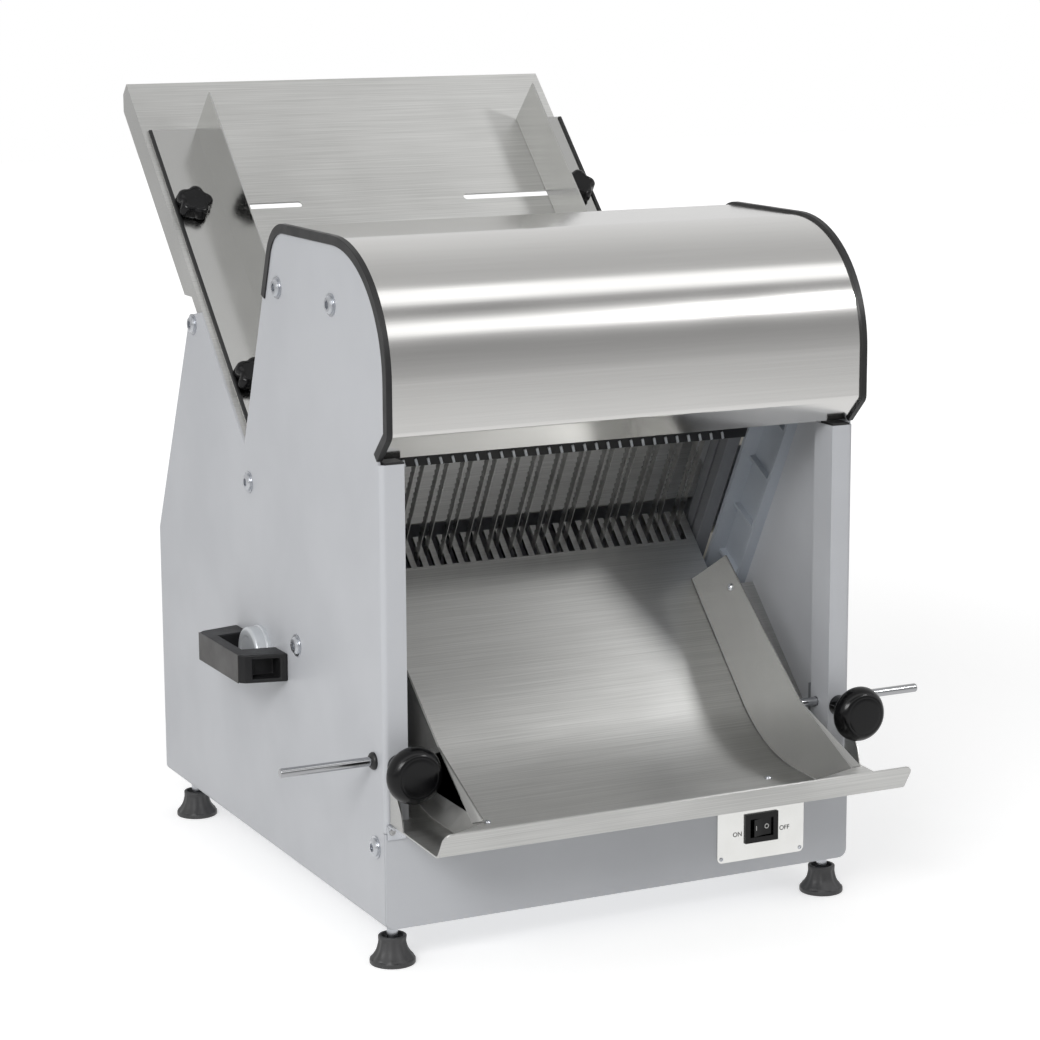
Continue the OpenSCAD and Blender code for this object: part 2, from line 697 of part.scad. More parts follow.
bearing_r = crank_r + 10;
module shaft_bearings() color("silver") {
  both() difference() {
    union() {
      bar_x(arm_out + 1, half_w, rocker, rocker_r + 9);
      bar_x(half_in - 6, half_in, rocker, rocker_r + 18);
    }
    bar_x(arm_out, half_w + 1, rocker, rocker_r + run_fit);
  }
  for (x = stand_x) difference() {
    bar_x(x, x + stand_t, crank, bearing_r);
    bar_x(x - 1, x + stand_t + 1, crank, crank_r + run_fit);
  }
}
module bearing_caps() color("gray") both() translate([half_w, rocker_y, rocker_z]) rotate([0, 90, 0])
  rotate_extrude() {
    rim = 4;
    difference() {
      union() {
        square([cap_r, cap_h - rim]);
        square([cap_r - rim, cap_h]);
        translate([cap_r - rim, cap_h - rim]) circle(r = rim);
      }
      translate([0, -1]) square([rocker_r + 2, cap_h - 3]);
      translate([-2 * rim, -1]) square([2 * rim, cap_h + 2]);
    }
  }

// Crank group on its stand
module crank_stand() color("gray") difference() {
  foot_t = stand_t / 2;
  half = bearing_r + 14;
  union() {
    for (x = stand_x) block(x, x + stand_t, crank_y - half, crank_y + half, base_top, crank_z + bearing_r + 8);
    block(stand_x[0] - 14, stand_x[1] + stand_t, crank_y - half, crank_y + half, base_top, base_top + foot_t);
  }
  for (x = stand_x) bar_x(x - 1, x + stand_t + 1, crank, bearing_r);
}
module crankshaft() color("silver") {
  bar_x(stand_x[0] - 4, crank_x + 1, crank, crank_r);
  bar_x(crank_x, crank_x + disc_t, crank, crank_throw + crank_pin_r + 7);
  bar_x(crank_x + disc_t - 1, rod_x + rod_t + 0.4, crank_pin, crank_pin_r);
  bar_x(rod_x + rod_t + 0.4, rod_x + rod_t + 4, crank_pin, crank_pin_r + 4);
}
// Flat pulley with flanges, r is its belt seat
module flat_pulley(x0, p, r, bore, web) translate([x0, p[0], p[1]]) rotate([0, 90, 0]) difference() {
  flange = belt_t + 3;
  union() {
    cylinder(h = pulley_w, r = r);
    for (z = [0, pulley_w - 3]) translate([0, 0, z]) cylinder(h = 3, r = r + flange);
  }
  translate([0, 0, -1]) cylinder(h = pulley_w + 2, r = bore);
  if (web) for (z = [-1, pulley_w - 6]) translate([0, 0, z]) difference() {
    cylinder(h = 7, r = r - 8);
    translate([0, 0, -1]) cylinder(h = 9, r = bore + 10);
  }
}
module crank_pulley() color("gray") flat_pulley(pulley_x, crank, pulley_r, crank_r, true);
module motor_pulley() color("gray") flat_pulley(pulley_x, motor_axis, motor_pulley_r, motor_shaft_r, false);

module connecting_rod() color("silver") difference() {
  x1 = rod_x + rod_t;
  e = (drive_pin - crank_pin) / norm(drive_pin - crank_pin);
  n = [-e[1], e[0]];
  union() {
    bar_x(rod_x, x1, crank_pin, crank_pin_r + 9);
    bar_x(rod_x, x1, drive_pin, 15);
    bar_x(rod_x - 3, rod_x + 1, drive_pin, 9);
    yz(rod_x + 1, x1 - 1)
      polygon([crank_pin + 10 * n, drive_pin + 9 * n, drive_pin - 9 * n, crank_pin - 10 * n]);
  }
  bar_x(rod_x - 1, x1 + 1, crank_pin, crank_pin_r + run_fit);
}

// Flat belt round both pulleys
belt_gap = 0.3;
module drive_belt() color("black") {
  x0 = pulley_x + (pulley_w - belt_w) / 2;
  x1 = x0 + belt_w;
  r1 = pulley_r + belt_gap;
  r2 = motor_pulley_r + belt_gap;
  way = motor_axis - crank;
  tilt = atan2(way[1], way[0]);
  wrap = acos((r1 - r2) / norm(way));
  a = tilt + wrap;
  b = tilt - wrap;
  yz(x0, x1) difference() {
    polygon(concat(arc(crank, r1 + belt_t, a, b + 360, 36), arc(motor_axis, r2 + belt_t, b, a, 18)));
    polygon(concat(arc(crank, r1, a, b + 360, 36), arc(motor_axis, r2, b, a, 18)));
  }
}

module motor() color("slategray") difference() {
  x0 = motor_x1 - motor_len;
  union() {
    bar_x(x0 + 12, motor_x1 - 12, motor_axis, motor_r);
    bar_x(x0, motor_x1, motor_axis, motor_r - 6);
    for (i = [0:5]) bar_x(x0 + 40 + 18 * i, x0 + 46 + 18 * i, motor_axis, motor_r + 1.5);
    bar_x(motor_x1 - 1, motor_x1 + 6, motor_axis, motor_shaft_r + 12);
    block(x0 + 24, motor_x1 - 24, motor_y - 38, motor_y + 38, base_top, motor_z - motor_r + 16);
  }
  bar_x(motor_x1 - 30, motor_x1 + 7, motor_axis, motor_shaft_r + run_fit);
}
module motor_shaft() color("silver")
  bar_x(motor_x1 - 28, pulley_x + pulley_w + 2, motor_axis, motor_shaft_r);

// Right-hand chute guide: a plate that follows the chute's floor, flared at its front edge
fence_gap = 1;
post_in = half_w - post_w;
module chute_guide(x) {
  top_rear = slide_at(fence_s1 - 20, fence_h);
  knee = [-20, rod_z + 17];
  tip = lip_top + [2, 5];
  toe = lip_floor + 42 * floor_e + fence_gap * floor_n;
  hem = 9;
  yz(x, x + sheet_t) polygon(concat(
    [knee, top_rear, slide_at(fence_s1, fence_gap)],
    arc(bend_c, chute_r - fence_gap, 270 + slide_a, 270 + chute_fall, 14),
    [toe, tip]
  ));
  run = tip - knee;
  translate([x + sheet_t, knee[0], knee[1]]) rotate([atan2(run[1], run[0]), 0, 0]) translate([0, 0, 0.2])
    linear_extrude(sheet_t) polygon([[-1, 6], [0, 6], [hem, norm(run) - 2], [-1, norm(run) - 2]]);
}
module guide_rod(x) bar_x(x + sheet_t, rod_tip, [rod_y, rod_z], rod_r);
module left_chute_guide() color("silver") flip() chute_guide(post_in - left_fence_in);
module right_chute_guide() color("silver") chute_guide(post_in - right_fence_in);
module left_guide_rod() color("silver") flip() guide_rod(post_in - left_fence_in);
module right_guide_rod() color("silver") guide_rod(post_in - right_fence_in);

module rod_clamps() color("dimgray") both() difference() {
  x0 = half_w - post_w + panel_t;
  y1 = panel_t + clamp_block[1];
  clear = post_bend - panel_t;
  translate([0, 0, rod_z - clamp_block[2] / 2]) linear_extrude(clamp_block[2]) polygon([[x0, panel_t],
    [half_in - clear, panel_t], [half_in, panel_t + clear], [half_in, y1], [x0, y1]]);
  bar_x(x0 - 1, half_w, [rod_y, rod_z], rod_r + run_fit);
  bar_y(0, rod_y, clamp_x, rod_z, screw_r + run_fit);
}
// Mushroom knob on the post's front, its screw reaching the rod
module clamp_knob() translate([clamp_x, 0, rod_z]) rotate([90, 0, 0]) {
  hub_r = 13;
  crown = 21;
  neck = clamp_h - crown;
  edge = 7;
  rotate_extrude() difference() {
    union() {
      translate([0, 0.3]) square([hub_r, neck]);
      translate([0, neck]) square([clamp_r - edge, crown]);
      translate([0, neck + edge]) square([clamp_r, crown - 2 * edge]);
      for (y = [neck + edge, clamp_h - edge]) translate([clamp_r - edge, y]) circle(r = edge);
    }
    translate([-clamp_r, -1]) square([clamp_r, clamp_h + 2]);
  }
  translate([0, 0, -rod_y + rod_r + 0.5]) cylinder(h = rod_y - rod_r + 2, r = screw_r);
}
module left_clamp_knob() color("black") flip() clamp_knob();
module right_clamp_knob() color("black") clamp_knob();

// Hopper guide on the right of the tray; x is the place of its upright leg
lift = 0.3;
flat_s0 = 455;
module hopper_guide(x) on_slide() difference() {
  union() {
    block(x, x + guide_t, guide_s0, guide_s1, lift, guide_h);
    block(x, x + guide_leg, flat_s0, guide_s1, lift, lift + guide_t);
  }
  for (s = [knob_s0, knob_s1]) translate([x + knob_out, s, -1]) cylinder(h = guide_t + 3, r = knob_hole);
}
module left_hopper_guide() color("lightgray") flip() hopper_guide(left_guide_x);
module right_hopper_guide() color("lightgray") hopper_guide(right_guide_x);

// Five-lobed knob standing on a guide's flat leg, its stud running down into the nut
nut_h = 5;
module star_knob(x, s) on_slide() translate([x + knob_out, s, 0]) {
  lobe_r = 5.5;
  z0 = 2 * lift + guide_t;
  stem = 2;
  translate([0, 0, z0]) cylinder(h = stem + 1, r = star_r - lobe_r - 3);
  translate([0, 0, z0 + stem]) {
    cylinder(h = star_h, r = star_r - lobe_r);
    for (i = [0:4]) rotate([0, 0, 72 * i]) translate([star_r - lobe_r, 0, 0])
      cylinder(h = star_h - 2, r = lobe_r);
  }
  translate([0, 0, -tray_t - nut_h - 2]) cylinder(h = tray_t + nut_h + 2 + z0 + 2, r = stud_r);
}
module guide_nuts(x) on_slide() for (s = [knob_s0, knob_s1]) difference() {
  block(x + knob_out - 8, x + knob_out + 8, s - 8, s + 8, -tray_t - lift - nut_h, -tray_t - lift);
  translate([x + knob_out, s, -tray_t - 20]) cylinder(h = 30, r = knob_hole);
}
module upper_left_star_knob() color("black") flip() star_knob(left_guide_x, knob_s1);
module lower_left_star_knob() color("black") flip() star_knob(left_guide_x, knob_s0);
module upper_right_star_knob() color("black") star_knob(right_guide_x, knob_s1);
module lower_right_star_knob() color("black") star_knob(right_guide_x, knob_s0);
module left_guide_nuts() color("silver") flip() guide_nuts(left_guide_x);
module right_guide_nuts() color("silver") guide_nuts(right_guide_x);

// Bow handle on the right-hand panel, with a pocket in each foot for its screw
module side_handle() {
  mid = rocker_y;
  a = handle_len / 2;
  taper = 11;
  foot = 30;
  z0 = rocker_z - handle_h / 2;
  inner = handle_out - handle_t;
  difference() {
    translate([half_w, mid, z0]) linear_extrude(handle_h) polygon([
      [0, -a], [handle_out - 5, -a + taper - 2], [handle_out, -a + taper + 3],
      [handle_out, a - taper - 3], [handle_out - 5, a - taper + 2], [0, a],
      [0, a - foot], [inner, a - foot - 5], [inner, -a + foot + 5], [0, -a + foot]
    ]);
    for (s = [-1, 1]) translate([half_w + 7, mid + s * (a - 8) - 12, z0 + 4]) cube([24, 24, handle_h - 8]);
  }
}
module left_handle() color("black") flip() side_handle();
module right_handle() color("black") side_handle();

// Switch on the front panel: its rocker tips about an upright pin
plate_t = 1.5;
module switch_plate() color("white") difference() {
  r = 5;
  translate([plate_x, 0, switch_z - plate_h / 2]) rotate([90, 0, 0]) linear_extrude(plate_t) {
    translate([-plate_w / 2 + r, 0]) square([plate_w - 2 * r, plate_h]);
    translate([-plate_w / 2, r]) square([plate_w, plate_h - 2 * r]);
    for (x = [-1, 1], y = [r, plate_h - r]) translate([x * (plate_w / 2 - r), y]) circle(r = r);
  }
  block(plate_x - switch_w / 2 + 3, plate_x + switch_w / 2 - 3, -plate_t - 1, 1,
    switch_z - switch_h / 2 + 3, switch_z + switch_h / 2 - 3);
}
tip_c = 6;
module switch_body() color("black") difference() {
  wall = 3 + 2 * run_fit;
  union() {
    block(plate_x - switch_w / 2, plate_x + switch_w / 2, -plate_t - 2, -plate_t,
      switch_z - switch_h / 2, switch_z + switch_h / 2);
    block(plate_x - switch_w / 2 + wall, plate_x + switch_w / 2 - wall, -plate_t - 1, 26,
      switch_z - switch_h / 2 + wall, switch_z + switch_h / 2 - wall);
  }
  block(plate_x - switch_w / 2 + 5, plate_x + switch_w / 2 - 5, -20, 22,
    switch_z - switch_h / 2 + 5, switch_z + switch_h / 2 - 5);
  translate([plate_x, tip_c, switch_z - switch_h / 2 + 3.5]) cylinder(h = switch_h - 7, r = 1.5 + run_fit);
}
module switch_rocker() color("black") {
  z0 = switch_z - switch_h / 2 + 5.5;
  h = switch_h - 11;
  tilt = 9;
  half = switch_w / 2 - 7;
  translate([plate_x, tip_c, z0]) rotate([0, 0, tilt]) {
    linear_extrude(h) polygon([[-half, -9], [-2, -8], [2, -8], [half, -9], [5, 5], [-5, 5]]);
    translate([0, 0, -1.5]) cylinder(h = h + 3, r = 1.5);
  }
}

// Levelling foot: bell-shaped pad, stud and jam nut
module foot(x, y) translate([x, y, 0]) {
  rim_r = 12.5;
  bell_h = 25;
  nut = 4;
  color("black") translate([0, 0, -foot_h]) rotate_extrude() polygon([[0, 0], [foot_r, 0], [foot_r, 6],
    [rim_r + 3.5, 10], [rim_r + 1, 15], [rim_r, 20], [rim_r, bell_h], [0, bell_h]]);
  translate([0, 0, -nut - 0.3]) cylinder(h = nut, r = 8.5, $fn = 6);
  translate([0, 0, bell_h - foot_h - 2]) cylinder(h = base_top + 14 + foot_h - bell_h + 2, r = foot_stud_r);
}
module front_left_foot() color("dimgray") foot(-foot_x, foot_y0);
module front_right_foot() color("dimgray") foot(foot_x, foot_y0);
module rear_left_foot() color("dimgray") foot(-foot_x, foot_y1);
module rear_right_foot() color("dimgray") foot(foot_x, foot_y1);

// Gland where a mains lead would enter through the rear cover
module cable_gland() color("black") difference() {
  back_y = body_d - 1;
  union() {
    bar_y(back_y - 12, back_y + 1, gland_p[0], gland_p[1], gland_r - 0.05);
    translate([gland_p[0], back_y, gland_p[1]]) rotate([-90, 0, 0]) cylinder(h = 6, r = gland_r + 4, $fn = 6);
    bar_y(back_y, back_y + 14, gland_p[0], gland_p[1], gland_r - 1);
  }
  bar_y(back_y - 13, back_y + 15, gland_p[0], gland_p[1], 4);
}

place() left_side_panel();
place() right_side_panel();
place() edge_trims();
place() hood();
place() post_seals();
place() front_panel();
place() base_plate();
place() rear_cover();
place() hopper_tray();
place() discharge_chute();
place() blade_comb();
place() left_blade_rail();
place() right_blade_rail();
place() tie_bars();
place() panel_bolts();
place() front_blade_frame();
place() rear_blade_frame();
place() front_blades();
place() rear_blades();
place() front_frame_shoes();
place() rear_frame_shoes();
place() rocker_shaft();
place() rocker_arms();
place() drive_arm();
place() shaft_bearings();
place() bearing_caps();
place() crank_stand();
place() crankshaft();
place() crank_pulley();
place() connecting_rod();
place() drive_belt();
place() motor();
place() motor_shaft();
place() motor_pulley();
place() left_chute_guide();
place() right_chute_guide();
place() left_guide_rod();
place() right_guide_rod();
place() rod_clamps();
place() left_clamp_knob();
place() right_clamp_knob();
place() left_hopper_guide();
place() right_hopper_guide();
place() upper_left_star_knob();
place() lower_left_star_knob();
place() upper_right_star_knob();
place() lower_right_star_knob();
place() left_guide_nuts();
place() right_guide_nuts();
place() left_handle();
place() right_handle();
place() switch_plate();
place() switch_body();
place() switch_rocker();
place() front_left_foot();
place() front_right_foot();
place() rear_left_foot();
place() rear_right_foot();
place() cable_gland();
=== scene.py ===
# %% [markdown]
# # A bench bread slicer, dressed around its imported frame
# The CAD model already holds every piece in its place. Blender adds what a buyer sees first: soft
# edges, turned knobs, brushed steel, powder paint and studio light. Each step says what the piece
# is on the real machine and why it is made the way it is.

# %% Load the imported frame
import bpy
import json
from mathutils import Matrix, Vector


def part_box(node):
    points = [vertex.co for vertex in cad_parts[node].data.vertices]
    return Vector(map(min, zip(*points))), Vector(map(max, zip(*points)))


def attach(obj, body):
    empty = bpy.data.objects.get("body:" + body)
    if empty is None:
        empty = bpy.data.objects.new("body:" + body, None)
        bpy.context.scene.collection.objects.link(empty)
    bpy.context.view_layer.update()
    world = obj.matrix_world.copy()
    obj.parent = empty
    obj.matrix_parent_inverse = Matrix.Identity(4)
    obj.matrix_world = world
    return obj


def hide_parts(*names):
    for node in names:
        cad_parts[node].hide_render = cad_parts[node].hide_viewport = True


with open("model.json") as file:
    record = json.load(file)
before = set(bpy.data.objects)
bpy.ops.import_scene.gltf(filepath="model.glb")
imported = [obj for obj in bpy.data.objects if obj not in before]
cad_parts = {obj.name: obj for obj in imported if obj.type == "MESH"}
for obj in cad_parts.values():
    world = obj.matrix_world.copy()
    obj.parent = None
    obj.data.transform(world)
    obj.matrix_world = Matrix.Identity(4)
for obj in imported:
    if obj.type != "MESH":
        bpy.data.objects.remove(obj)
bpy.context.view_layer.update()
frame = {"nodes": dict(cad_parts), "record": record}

import json
import math

import bmesh
import bpy
from mathutils import Matrix, Vector
from mathutils.bvhtree import BVHTree

MM = 0.001

# %% [markdown]
# ## Where things are
# The construction counts y from the posts' front face and z from the panels' lower edge. Two CAD
# nodes lie exactly on those planes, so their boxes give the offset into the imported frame, and
# every later place can be written in the millimetres of the construction. The hopper tray slopes,
# so its pieces get a frame of their own, SLIDE, whose y axis runs up the tray.

# %% Places in the machine's own millimetres
FRONT_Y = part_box("front_panel")[0].y
PANEL_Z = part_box("left_side_panel")[0].z
HALF_W = 230.0
SIDES = (("left", -1), ("right", 1))
SLIDE_Z, SLIDE_SLOPE = 57.5, 45


def spot(x, y, z):
    """A point given in the construction's millimetres."""
    return Vector((x * MM, y * MM + FRONT_Y, z * MM + PANEL_Z))


def shift(x, y, z):
    """A move given in millimetres."""
    return Matrix.Translation((x * MM, y * MM, z * MM))


def turn(degrees, axis):
    return Matrix.Rotation(math.radians(degrees), 4, axis)


SLIDE = Matrix.Translation(spot(0, 0, SLIDE_Z)) @ turn(SLIDE_SLOPE, "X")
print("posts' front face at y", round(FRONT_Y, 4), "and panels' edge at z", round(PANEL_Z, 4))

# %% [markdown]
# ## The camera
# The photograph was taken with a long lens from the front left, a little above the hood. The
# position was solved from the corners of the body, so the render can be laid over the photograph.

# %% Camera at the photograph's angle
AZIMUTH, ELEVATION, ROLL = (math.radians(a) for a in (-26.05, 11.16, -0.27))
EYE = spot(-1172.1, -2189.7, 825.9)
SENSOR, FOCAL = 36.0, 101.51
back = Vector((math.sin(AZIMUTH) * math.cos(ELEVATION),
               -math.cos(AZIMUTH) * math.cos(ELEVATION), math.sin(ELEVATION)))
level = Vector((0, 0, 1)).cross(back).normalized()
upright = back.cross(level)
right = math.cos(ROLL) * level + math.sin(ROLL) * upright
up = -math.sin(ROLL) * level + math.cos(ROLL) * upright
lens = bpy.data.cameras.new("photo_lens")
lens.sensor_width, lens.lens = SENSOR, FOCAL
lens.clip_start, lens.clip_end = 0.05, 60.0
camera = bpy.data.objects.new("photo_camera", lens)
bpy.context.scene.collection.objects.link(camera)
camera.matrix_world = Matrix.Translation(EYE) @ Matrix((right, up, back)).transposed().to_4x4()
bpy.context.scene.camera = camera
bpy.context.scene.view_settings.view_transform = "Standard"
print("camera", [round(v, 3) for v in EYE], "lens", FOCAL, "mm")

# %% [markdown]
# ## Shared surface effects
# Real sheet steel carries fine lines from the grinding belt, and real paint has a faint orange
# peel and uneven sheen. Both are noise at two scales, so one node group is built for each effect
# and every finish sets its own tones, scales and roughness on it.

# %% Nodes and groups
TONES = [("Vector", "NodeSocketVector"), ("Tone A", "NodeSocketColor"), ("Tone B", "NodeSocketColor"),
         ("Rough A", "NodeSocketFloat"), ("Rough B", "NodeSocketFloat"),
         ("Grain Scale", "NodeSocketFloat"), ("Cloud Scale", "NodeSocketFloat")]
EFFECT = [("Color", "NodeSocketColor"), ("Roughness", "NodeSocketFloat"), ("Height", "NodeSocketFloat")]


def add_node(tree, kind, operation=None, **values):
    """A new node; From_Min=2 sets its socket "From Min"."""
    node = tree.nodes.new("ShaderNode" + kind)
    if operation:
        node.operation = operation
    for socket, value in values.items():
        node.inputs[socket.replace("_", " ")].default_value = value
    return node


def surface_group(name, sockets):
    group = bpy.data.node_groups.new(name, "ShaderNodeTree")
    for socket, kind in sockets:
        group.interface.new_socket(socket, in_out="INPUT", socket_type=kind)
    for socket, kind in EFFECT:
        group.interface.new_socket(socket, in_out="OUTPUT", socket_type=kind)
    return group, group.nodes.new("NodeGroupInput"), group.nodes.new("NodeGroupOutput")


print("a finish sets", [socket for socket, _ in TONES])

# %% [markdown]
# ## Noise to colour, roughness and height
# A noise value mostly stays near one half, so it is first stretched to the full range. The fine
# grain then tints the colour together with the broad cloud, the cloud alone changes the sheen, and
# the grain alone gives the height. A painted texture would do the same, but noise needs no file.

# %% Noise and mixing helpers
MIX_FACTOR, MIX_A, MIX_B, MIXED = 0, 2, 3, 0
TINT_A, TINT_B, TINTED = 6, 7, 2


def stretched_noise(group, vector, scale, detail, low, high):
    """Noise whose usual narrow range, low to high, is stretched to 0..1."""
    noise = add_node(group, "TexNoise", Detail=detail)
    group.links.new(vector, noise.inputs["Vector"])
    group.links.new(scale, noise.inputs["Scale"])
    wide = add_node(group, "MapRange", From_Min=low, From_Max=high)
    group.links.new(noise.outputs["Fac"], wide.inputs["Value"])
    return wide.outputs["Result"]


def join_outputs(group, given, out, grain, cloud, share):
    """Colour from grain and cloud, roughness from cloud, height from grain."""
    both = add_node(group, "Mix")
    both.inputs[MIX_FACTOR].default_value = share
    group.links.new(cloud, both.inputs[MIX_A])
    group.links.new(grain, both.inputs[MIX_B])
    tone = add_node(group, "Mix")
    tone.data_type = "RGBA"
    group.links.new(both.outputs[MIXED], tone.inputs[MIX_FACTOR])
    group.links.new(given.outputs["Tone A"], tone.inputs[TINT_A])
    group.links.new(given.outputs["Tone B"], tone.inputs[TINT_B])
    group.links.new(tone.outputs[TINTED], out.inputs["Color"])
    rough = add_node(group, "Mix")
    group.links.new(cloud, rough.inputs[MIX_FACTOR])
    group.links.new(given.outputs["Rough A"], rough.inputs[MIX_A])
    group.links.new(given.outputs["Rough B"], rough.inputs[MIX_B])
    group.links.new(rough.outputs[MIXED], out.inputs["Roughness"])
    group.links.new(grain, out.inputs["Height"])


print("each effect puts out", [socket for socket, _ in EFFECT])

# %% Brushed lines
LINES_SHARE = 0.6
brushed, given, out = surface_group("brushed_lines", TONES + [("Stretch", "NodeSocketVector")])
pulled = add_node(brushed, "VectorMath", "MULTIPLY")
brushed.links.new(given.outputs["Vector"], pulled.inputs[0])
brushed.links.new(given.outputs["Stretch"], pulled.inputs[1])
lines = stretched_noise(brushed, pulled.outputs[0], given.outputs["Grain Scale"],
                        detail=3.0, low=0.32, high=0.68)
haze = stretched_noise(brushed, given.outputs["Vector"], given.outputs["Cloud Scale"],
                       detail=2.0, low=0.35, high=0.65)
join_outputs(brushed, given, out, lines, haze, LINES_SHARE)
print("group", brushed.name, "with", len(brushed.nodes), "nodes")

# %% Speckle and haze
SPECK_SHARE = 0.35
speckled, given, out = surface_group("speckle_and_haze", TONES)
speck = stretched_noise(speckled, given.outputs["Vector"], given.outputs["Grain Scale"],
                        detail=2.0, low=0.3, high=0.7)
haze = stretched_noise(speckled, given.outputs["Vector"], given.outputs["Cloud Scale"],
                       detail=3.0, low=0.35, high=0.65)
join_outputs(speckled, given, out, speck, haze, SPECK_SHARE)
print("group", speckled.name, "with", len(speckled.nodes), "nodes")

# %% [markdown]
# ## Finishes
# One finish stands for one material of the real machine. The constant sockets sit on the shader
# itself, and only colour, roughness and the bump's height come from the groups.

# %% Finish builder
RIPPLE = 0.1 * MM
ACROSS = (0.01, 1.0, 1.0)
finishes = {}


def srgb(r, g, b):
    """A colour written as it is seen, 0..255, as the shader's linear value."""
    return tuple(((v / 255 + 0.055) / 1.055) ** 2.4 if v > 10 else v / 3295 for v in (r, g, b)) + (1.0,)


def finish(slot, group, tone_a, tone_b, rough, grain, cloud, bump, metal=0.0, stretch=None, **shader):
    """Two tones as seen, roughness from and to, scales of grain and cloud, strength of the bump."""
    made = bpy.data.materials.new(slot + "_finish")
    made.use_nodes = True
    tree = made.node_tree
    principled = tree.nodes["Principled BSDF"]
    place = add_node(tree, "TexCoord")
    effect = add_node(tree, "Group")
    effect.node_tree = group
    tree.links.new(place.outputs["Object"], effect.inputs["Vector"])
    effect.inputs["Tone A"].default_value = srgb(*tone_a)
    effect.inputs["Tone B"].default_value = srgb(*tone_b)
    effect.inputs["Rough A"].default_value, effect.inputs["Rough B"].default_value = rough
    effect.inputs["Grain Scale"].default_value = grain
    effect.inputs["Cloud Scale"].default_value = cloud
    if stretch:
        effect.inputs["Stretch"].default_value = stretch
    tree.links.new(effect.outputs["Color"], principled.inputs["Base Color"])
    tree.links.new(effect.outputs["Roughness"], principled.inputs["Roughness"])
    ripple = add_node(tree, "Bump", Strength=bump, Distance=RIPPLE)
    tree.links.new(effect.outputs["Height"], ripple.inputs["Height"])
    tree.links.new(ripple.outputs["Normal"], principled.inputs["Normal"])
    principled.inputs["Metallic"].default_value = metal
    for socket, value in shader.items():
        principled.inputs[socket.replace("_", " ")].default_value = value
    finishes[slot] = made
    return made


print("white as the shader takes it:", srgb(255, 255, 255))

# %% [markdown]
# ## Paints
# The panels carry light grey powder paint, which is matt with a fine orange peel. Inside, the cast
# rails are painted a little bluer, and the drive has the plain greys of machine paint and bare
# iron. They differ only in tone, sheen and scale, so the speckle group makes them all.

# %% Paints and iron
finish("panel_paint", speckled, (193, 195, 199), (187, 189, 193), (0.36, 0.46), 1400, 9, 0.12)
finish("rail_paint", speckled, (186, 192, 200), (176, 183, 192), (0.4, 0.5), 1200, 14, 0.15)
finish("frame_paint", speckled, (120, 122, 126), (108, 110, 114), (0.45, 0.55), 1200, 14, 0.15)
finish("motor_paint", speckled, (96, 108, 120), (86, 97, 110), (0.35, 0.5), 1200, 16, 0.2)
finish("iron", speckled, (104, 104, 105), (84, 84, 86), (0.5, 0.7), 700, 25, 0.5, 0.6)
print("paints:", list(finishes))

# %% [markdown]
# ## Steels
# The hood is polished, while the tray and the chute keep the lines of the grinding belt. Lines
# alone would only stripe the colour. On real satin steel they also stretch each highlight across
# themselves, so that finish is anisotropic, with its tangent taken from a UV map named brush.

# %% Sheet steels
finish("polished_steel", brushed, (224, 223, 221), (219, 218, 216), (0.13, 0.17), 900, 6, 0.03, 1.0, ACROSS)
satin = finish("satin_steel", brushed, (215, 215, 213), (187, 187, 185), (0.34, 0.4), 900, 7, 0.3, 1.0,
               ACROSS, Anisotropic=0.9).node_tree
lay = add_node(satin, "Tangent")
lay.direction_type, lay.uv_map = "UV_MAP", "brush"
satin.links.new(lay.outputs["Tangent"], satin.nodes["Principled BSDF"].inputs["Tangent"])
finish("guide_steel", speckled, (212, 212, 210), (204, 204, 202), (0.14, 0.2), 1500, 14, 0.08, 1.0)
finish("fence_steel", speckled, (168, 168, 166), (160, 160, 158), (0.16, 0.24), 1500, 14, 0.08, 0.7)
finish("plate_metal", speckled, (246, 246, 244), (240, 240, 237), (0.15, 0.22), 1500, 30, 0.06, 0.9)
print(len(finishes), "finishes up to", list(finishes)[-1])

# %% Bar, blade and fitting steels
BLADE_LINES = (1.0, 0.1, 0.1)
finish("blade_steel", brushed, (186, 186, 185), (150, 150, 149), (0.24, 0.34), 1200, 30, 0.2, 1.0, BLADE_LINES)
finish("chrome_rod", brushed, (182, 183, 185), (164, 165, 167), (0.12, 0.2), 1500, 20, 0.05, 1.0, ACROSS)
finish("zinc_steel", speckled, (206, 208, 212), (186, 189, 194), (0.22, 0.36), 900, 60, 0.15, 1.0)
finish("machined_steel", speckled, (190, 190, 190), (172, 172, 172), (0.25, 0.4), 1500, 30, 0.2, 1.0)
finish("cap_metal", speckled, (205, 208, 211), (192, 196, 200), (0.3, 0.42), 1600, 40, 0.15, 0.35)
print(len(finishes), "finishes up to", list(finishes)[-1])

# %% [markdown]
# ## Plastics and rubber
# Knobs and switch are glossy black plastic, the handles a duller one whose lit outer faces get a
# painted highlight in grey, and the edge trims and feet are rubber. Pure black would swallow their
# shapes, so each keeps a dark grey and a sheen of its own.

# %% Plastics and rubber
finish("black_plastic", speckled, (8, 8, 9), (13, 13, 15), (0.16, 0.26), 1500, 40, 0.1, Specular_IOR_Level=0.3)
finish("handle_plastic", speckled, (22, 22, 24), (30, 30, 31), (0.4, 0.5), 2200, 40, 0.3,
       Specular_IOR_Level=0.3)
# Painted highlight: this lighter grey stands for the light falling on the handles' outer faces.
finish("painted_grip_highlight", speckled, (68, 67, 66), (62, 61, 60), (0.42, 0.52), 2200, 40, 0.2)
finish("mark_white", speckled, (226, 226, 224), (216, 216, 214), (0.4, 0.5), 1500, 60, 0.05)
finish("trim_rubber", speckled, (20, 20, 21), (28, 28, 29), (0.35, 0.5), 1800, 40, 0.2)
finish("foot_rubber", speckled, (52, 52, 53), (68, 68, 69), (0.4, 0.6), 1500, 60, 0.3)
finish("nylon", speckled, (226, 222, 212), (214, 210, 200), (0.4, 0.5), 1200, 30, 0.2)
print(len(finishes), "finishes")
